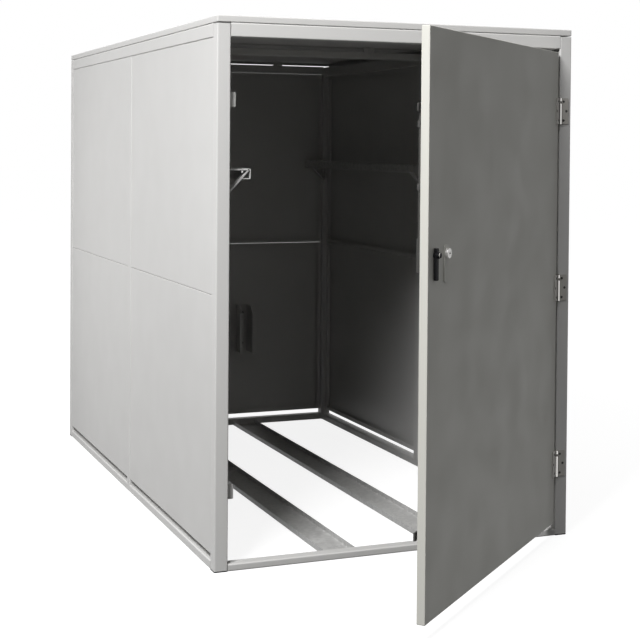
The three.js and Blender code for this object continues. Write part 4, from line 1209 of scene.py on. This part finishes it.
class LOCKER_OT_stage(LockerPiece, bpy.types.Operator):
    """Make the pale floor, the soft light, the sky and the camera"""

    bl_idname = "locker.stage"
    bl_label = "Floor, light and camera"

    def execute(self, context):
        stage = context.scene.locker_stage
        self.floor(stage)
        self.sky(context.scene, stage)
        self.soft_box("soft_box_front", FRONT_LIGHT, stage.front_size, stage.front_watts)
        self.soft_box("soft_box_side", SIDE_LIGHT, stage.side_size, stage.side_watts)
        self.camera(context.scene, stage)
        context.scene.view_settings.view_transform = "Standard"
        return {"FINISHED"}

    def seen_directly(self, nodes, links):
        """One for rays from the camera, mirrors and glass, and zero for the light that falls on things"""
        path = nodes.new("ShaderNodeLightPath")
        total = path.outputs["Is Camera Ray"]
        for kind in ("Is Glossy Ray", "Is Transmission Ray"):
            both = nodes.new("ShaderNodeMath")
            both.operation = "MAXIMUM"
            links.new(total, both.inputs[0])
            links.new(path.outputs[kind], both.inputs[1])
            total = both.outputs["Value"]
        return total

    def floor(self, stage):
        shape = bmesh.new()
        bmesh.ops.create_grid(shape, x_segments=1, y_segments=1, size=60)
        mesh = bpy.data.meshes.new("floor")
        shape.to_mesh(mesh)
        shape.free()
        floor = bpy.data.objects.new("floor", mesh)
        floor.location.z = -FLOOR_DROP
        bpy.context.scene.collection.objects.link(floor)
        material = bpy.data.materials.new("floor_paper")
        material.use_nodes = True
        nodes, links = material.node_tree.nodes, material.node_tree.links
        nodes.clear()
        out = nodes.new("ShaderNodeOutputMaterial")
        kinds = ("BsdfDiffuse", "BsdfDiffuse", "Emission")
        dark, catcher, glow = (nodes.new(f"ShaderNode{kind}") for kind in kinds)
        dark.inputs["Color"].default_value = (stage.floor, stage.floor, stage.floor, 1)
        catcher.inputs["Color"].default_value = (stage.shadow, stage.shadow, stage.shadow, 1)
        glow.inputs["Strength"].default_value = stage.paper
        white, seen = nodes.new("ShaderNodeAddShader"), nodes.new("ShaderNodeMixShader")
        links.new(catcher.outputs[0], white.inputs[0])
        links.new(glow.outputs[0], white.inputs[1])
        links.new(self.seen_directly(nodes, links), seen.inputs[0])
        links.new(dark.outputs[0], seen.inputs[1])
        links.new(white.outputs[0], seen.inputs[2])
        links.new(seen.outputs[0], out.inputs["Surface"])
        mesh.materials.append(material)

    def sky(self, scene, stage):
        """Light from overhead that fades to nothing at the horizon, before a white backdrop"""
        world = bpy.data.worlds.new("studio")
        scene.world = world
        world.use_nodes = True
        nodes, links = world.node_tree.nodes, world.node_tree.links
        way = nodes.new("ShaderNodeTexCoord")
        parts = nodes.new("ShaderNodeSeparateXYZ")
        links.new(way.outputs["Generated"], parts.inputs[0])
        overhead, fading, strength = (nodes.new("ShaderNodeMath") for _ in range(3))
        for node, operation, value in (
            (overhead, "MAXIMUM", 0),
            (fading, "POWER", 2),
            (strength, "MULTIPLY", stage.sky),
        ):
            node.operation = operation
            node.inputs[1].default_value = value
        links.new(parts.outputs["Z"], overhead.inputs[0])
        links.new(overhead.outputs[0], fading.inputs[0])
        links.new(fading.outputs[0], strength.inputs[0])
        mixed = nodes.new("ShaderNodeMapRange")
        mixed.inputs["To Max"].default_value = 1
        links.new(strength.outputs[0], mixed.inputs["To Min"])
        links.new(self.seen_directly(nodes, links), mixed.inputs["Value"])
        background = nodes["Background"]
        background.inputs["Color"].default_value = (1, 1, 1, 1)
        links.new(mixed.outputs["Result"], background.inputs["Strength"])

    def soft_box(self, name, place, size, watts):
        lamp = bpy.data.lights.new(name, "AREA")
        lamp.energy = watts
        lamp.shape = "SQUARE"
        lamp.size = size
        box = bpy.data.objects.new(name, lamp)
        box.location = place
        aim = LIGHTS_AIM - box.location
        box.rotation_euler = aim.to_track_quat("-Z", "Y").to_euler()
        box.visible_camera = False
        bpy.context.scene.collection.objects.link(box)

    def camera(self, scene, stage):
        lens = bpy.data.cameras.new("camera")
        lens.lens = stage.lens
        lens.sensor_width = 36
        lens.shift_y = -0.227
        lens.clip_start, lens.clip_end = 0.05, 200
        camera = bpy.data.objects.new("camera", lens)
        yaw, pitch, roll = (math.radians(angle) for angle in CAMERA_ANGLES)
        turn = (
            Matrix.Rotation(-yaw, 4, "Z")
            @ Matrix.Rotation(math.pi / 2 + pitch, 4, "X")
            @ Matrix.Rotation(roll, 4, "Z")
        )
        camera.matrix_world = Matrix.Translation(CAMERA_PLACE) @ turn
        scene.collection.objects.link(camera)
        scene.camera = camera


OPERATORS = (
    LOCKER_OT_posts,
    LOCKER_OT_rails,
    LOCKER_OT_foot_caps,
    LOCKER_OT_side_panels,
    LOCKER_OT_rear_panels,
    LOCKER_OT_roof,
    LOCKER_OT_wheel_channels,
    LOCKER_OT_wheel_holders,
    LOCKER_OT_side_rails,
    LOCKER_OT_keepers,
    LOCKER_OT_door_leaf,
    LOCKER_OT_hinges,
    LOCKER_OT_handle,
    LOCKER_OT_lock,
    LOCKER_OT_latch,
    LOCKER_OT_stage,
)

SETTINGS = (
    ("locker_sheets", LockerSheetSizes),
    ("locker_hardware", LockerHardwareSizes),
    ("locker_colours", LockerColours),
    ("locker_stage", LockerStage),
)


class LOCKER_PT_panel(bpy.types.Panel):
    """Sidebar panel that lists the locker's pieces"""

    bl_idname = "LOCKER_PT_panel"
    bl_label = "Bicycle Locker"
    bl_space_type = "VIEW_3D"
    bl_region_type = "UI"
    bl_category = "Locker"

    def draw(self, context):
        for operator in OPERATORS:
            self.layout.operator(operator.bl_idname)
        for name, group in SETTINGS:
            box = self.layout.box()
            box.label(text=group.__doc__)
            for key in group.__annotations__:
                box.prop(getattr(context.scene, name), key)


def register():
    for name, group in SETTINGS:
        bpy.utils.register_class(group)
        setattr(bpy.types.Scene, name, PointerProperty(type=group))
    for operator in OPERATORS:
        bpy.utils.register_class(operator)
    bpy.utils.register_class(LOCKER_PT_panel)


def unregister():
    bpy.utils.unregister_class(LOCKER_PT_panel)
    for operator in reversed(OPERATORS):
        bpy.utils.unregister_class(operator)
    for name, group in reversed(SETTINGS):
        delattr(bpy.types.Scene, name)
        bpy.utils.unregister_class(group)


def main():
    register()
    for operator in OPERATORS:
        group, name = operator.bl_idname.split(".")
        getattr(getattr(bpy.ops, group), name)()


if __name__ == "__main__":
    main()
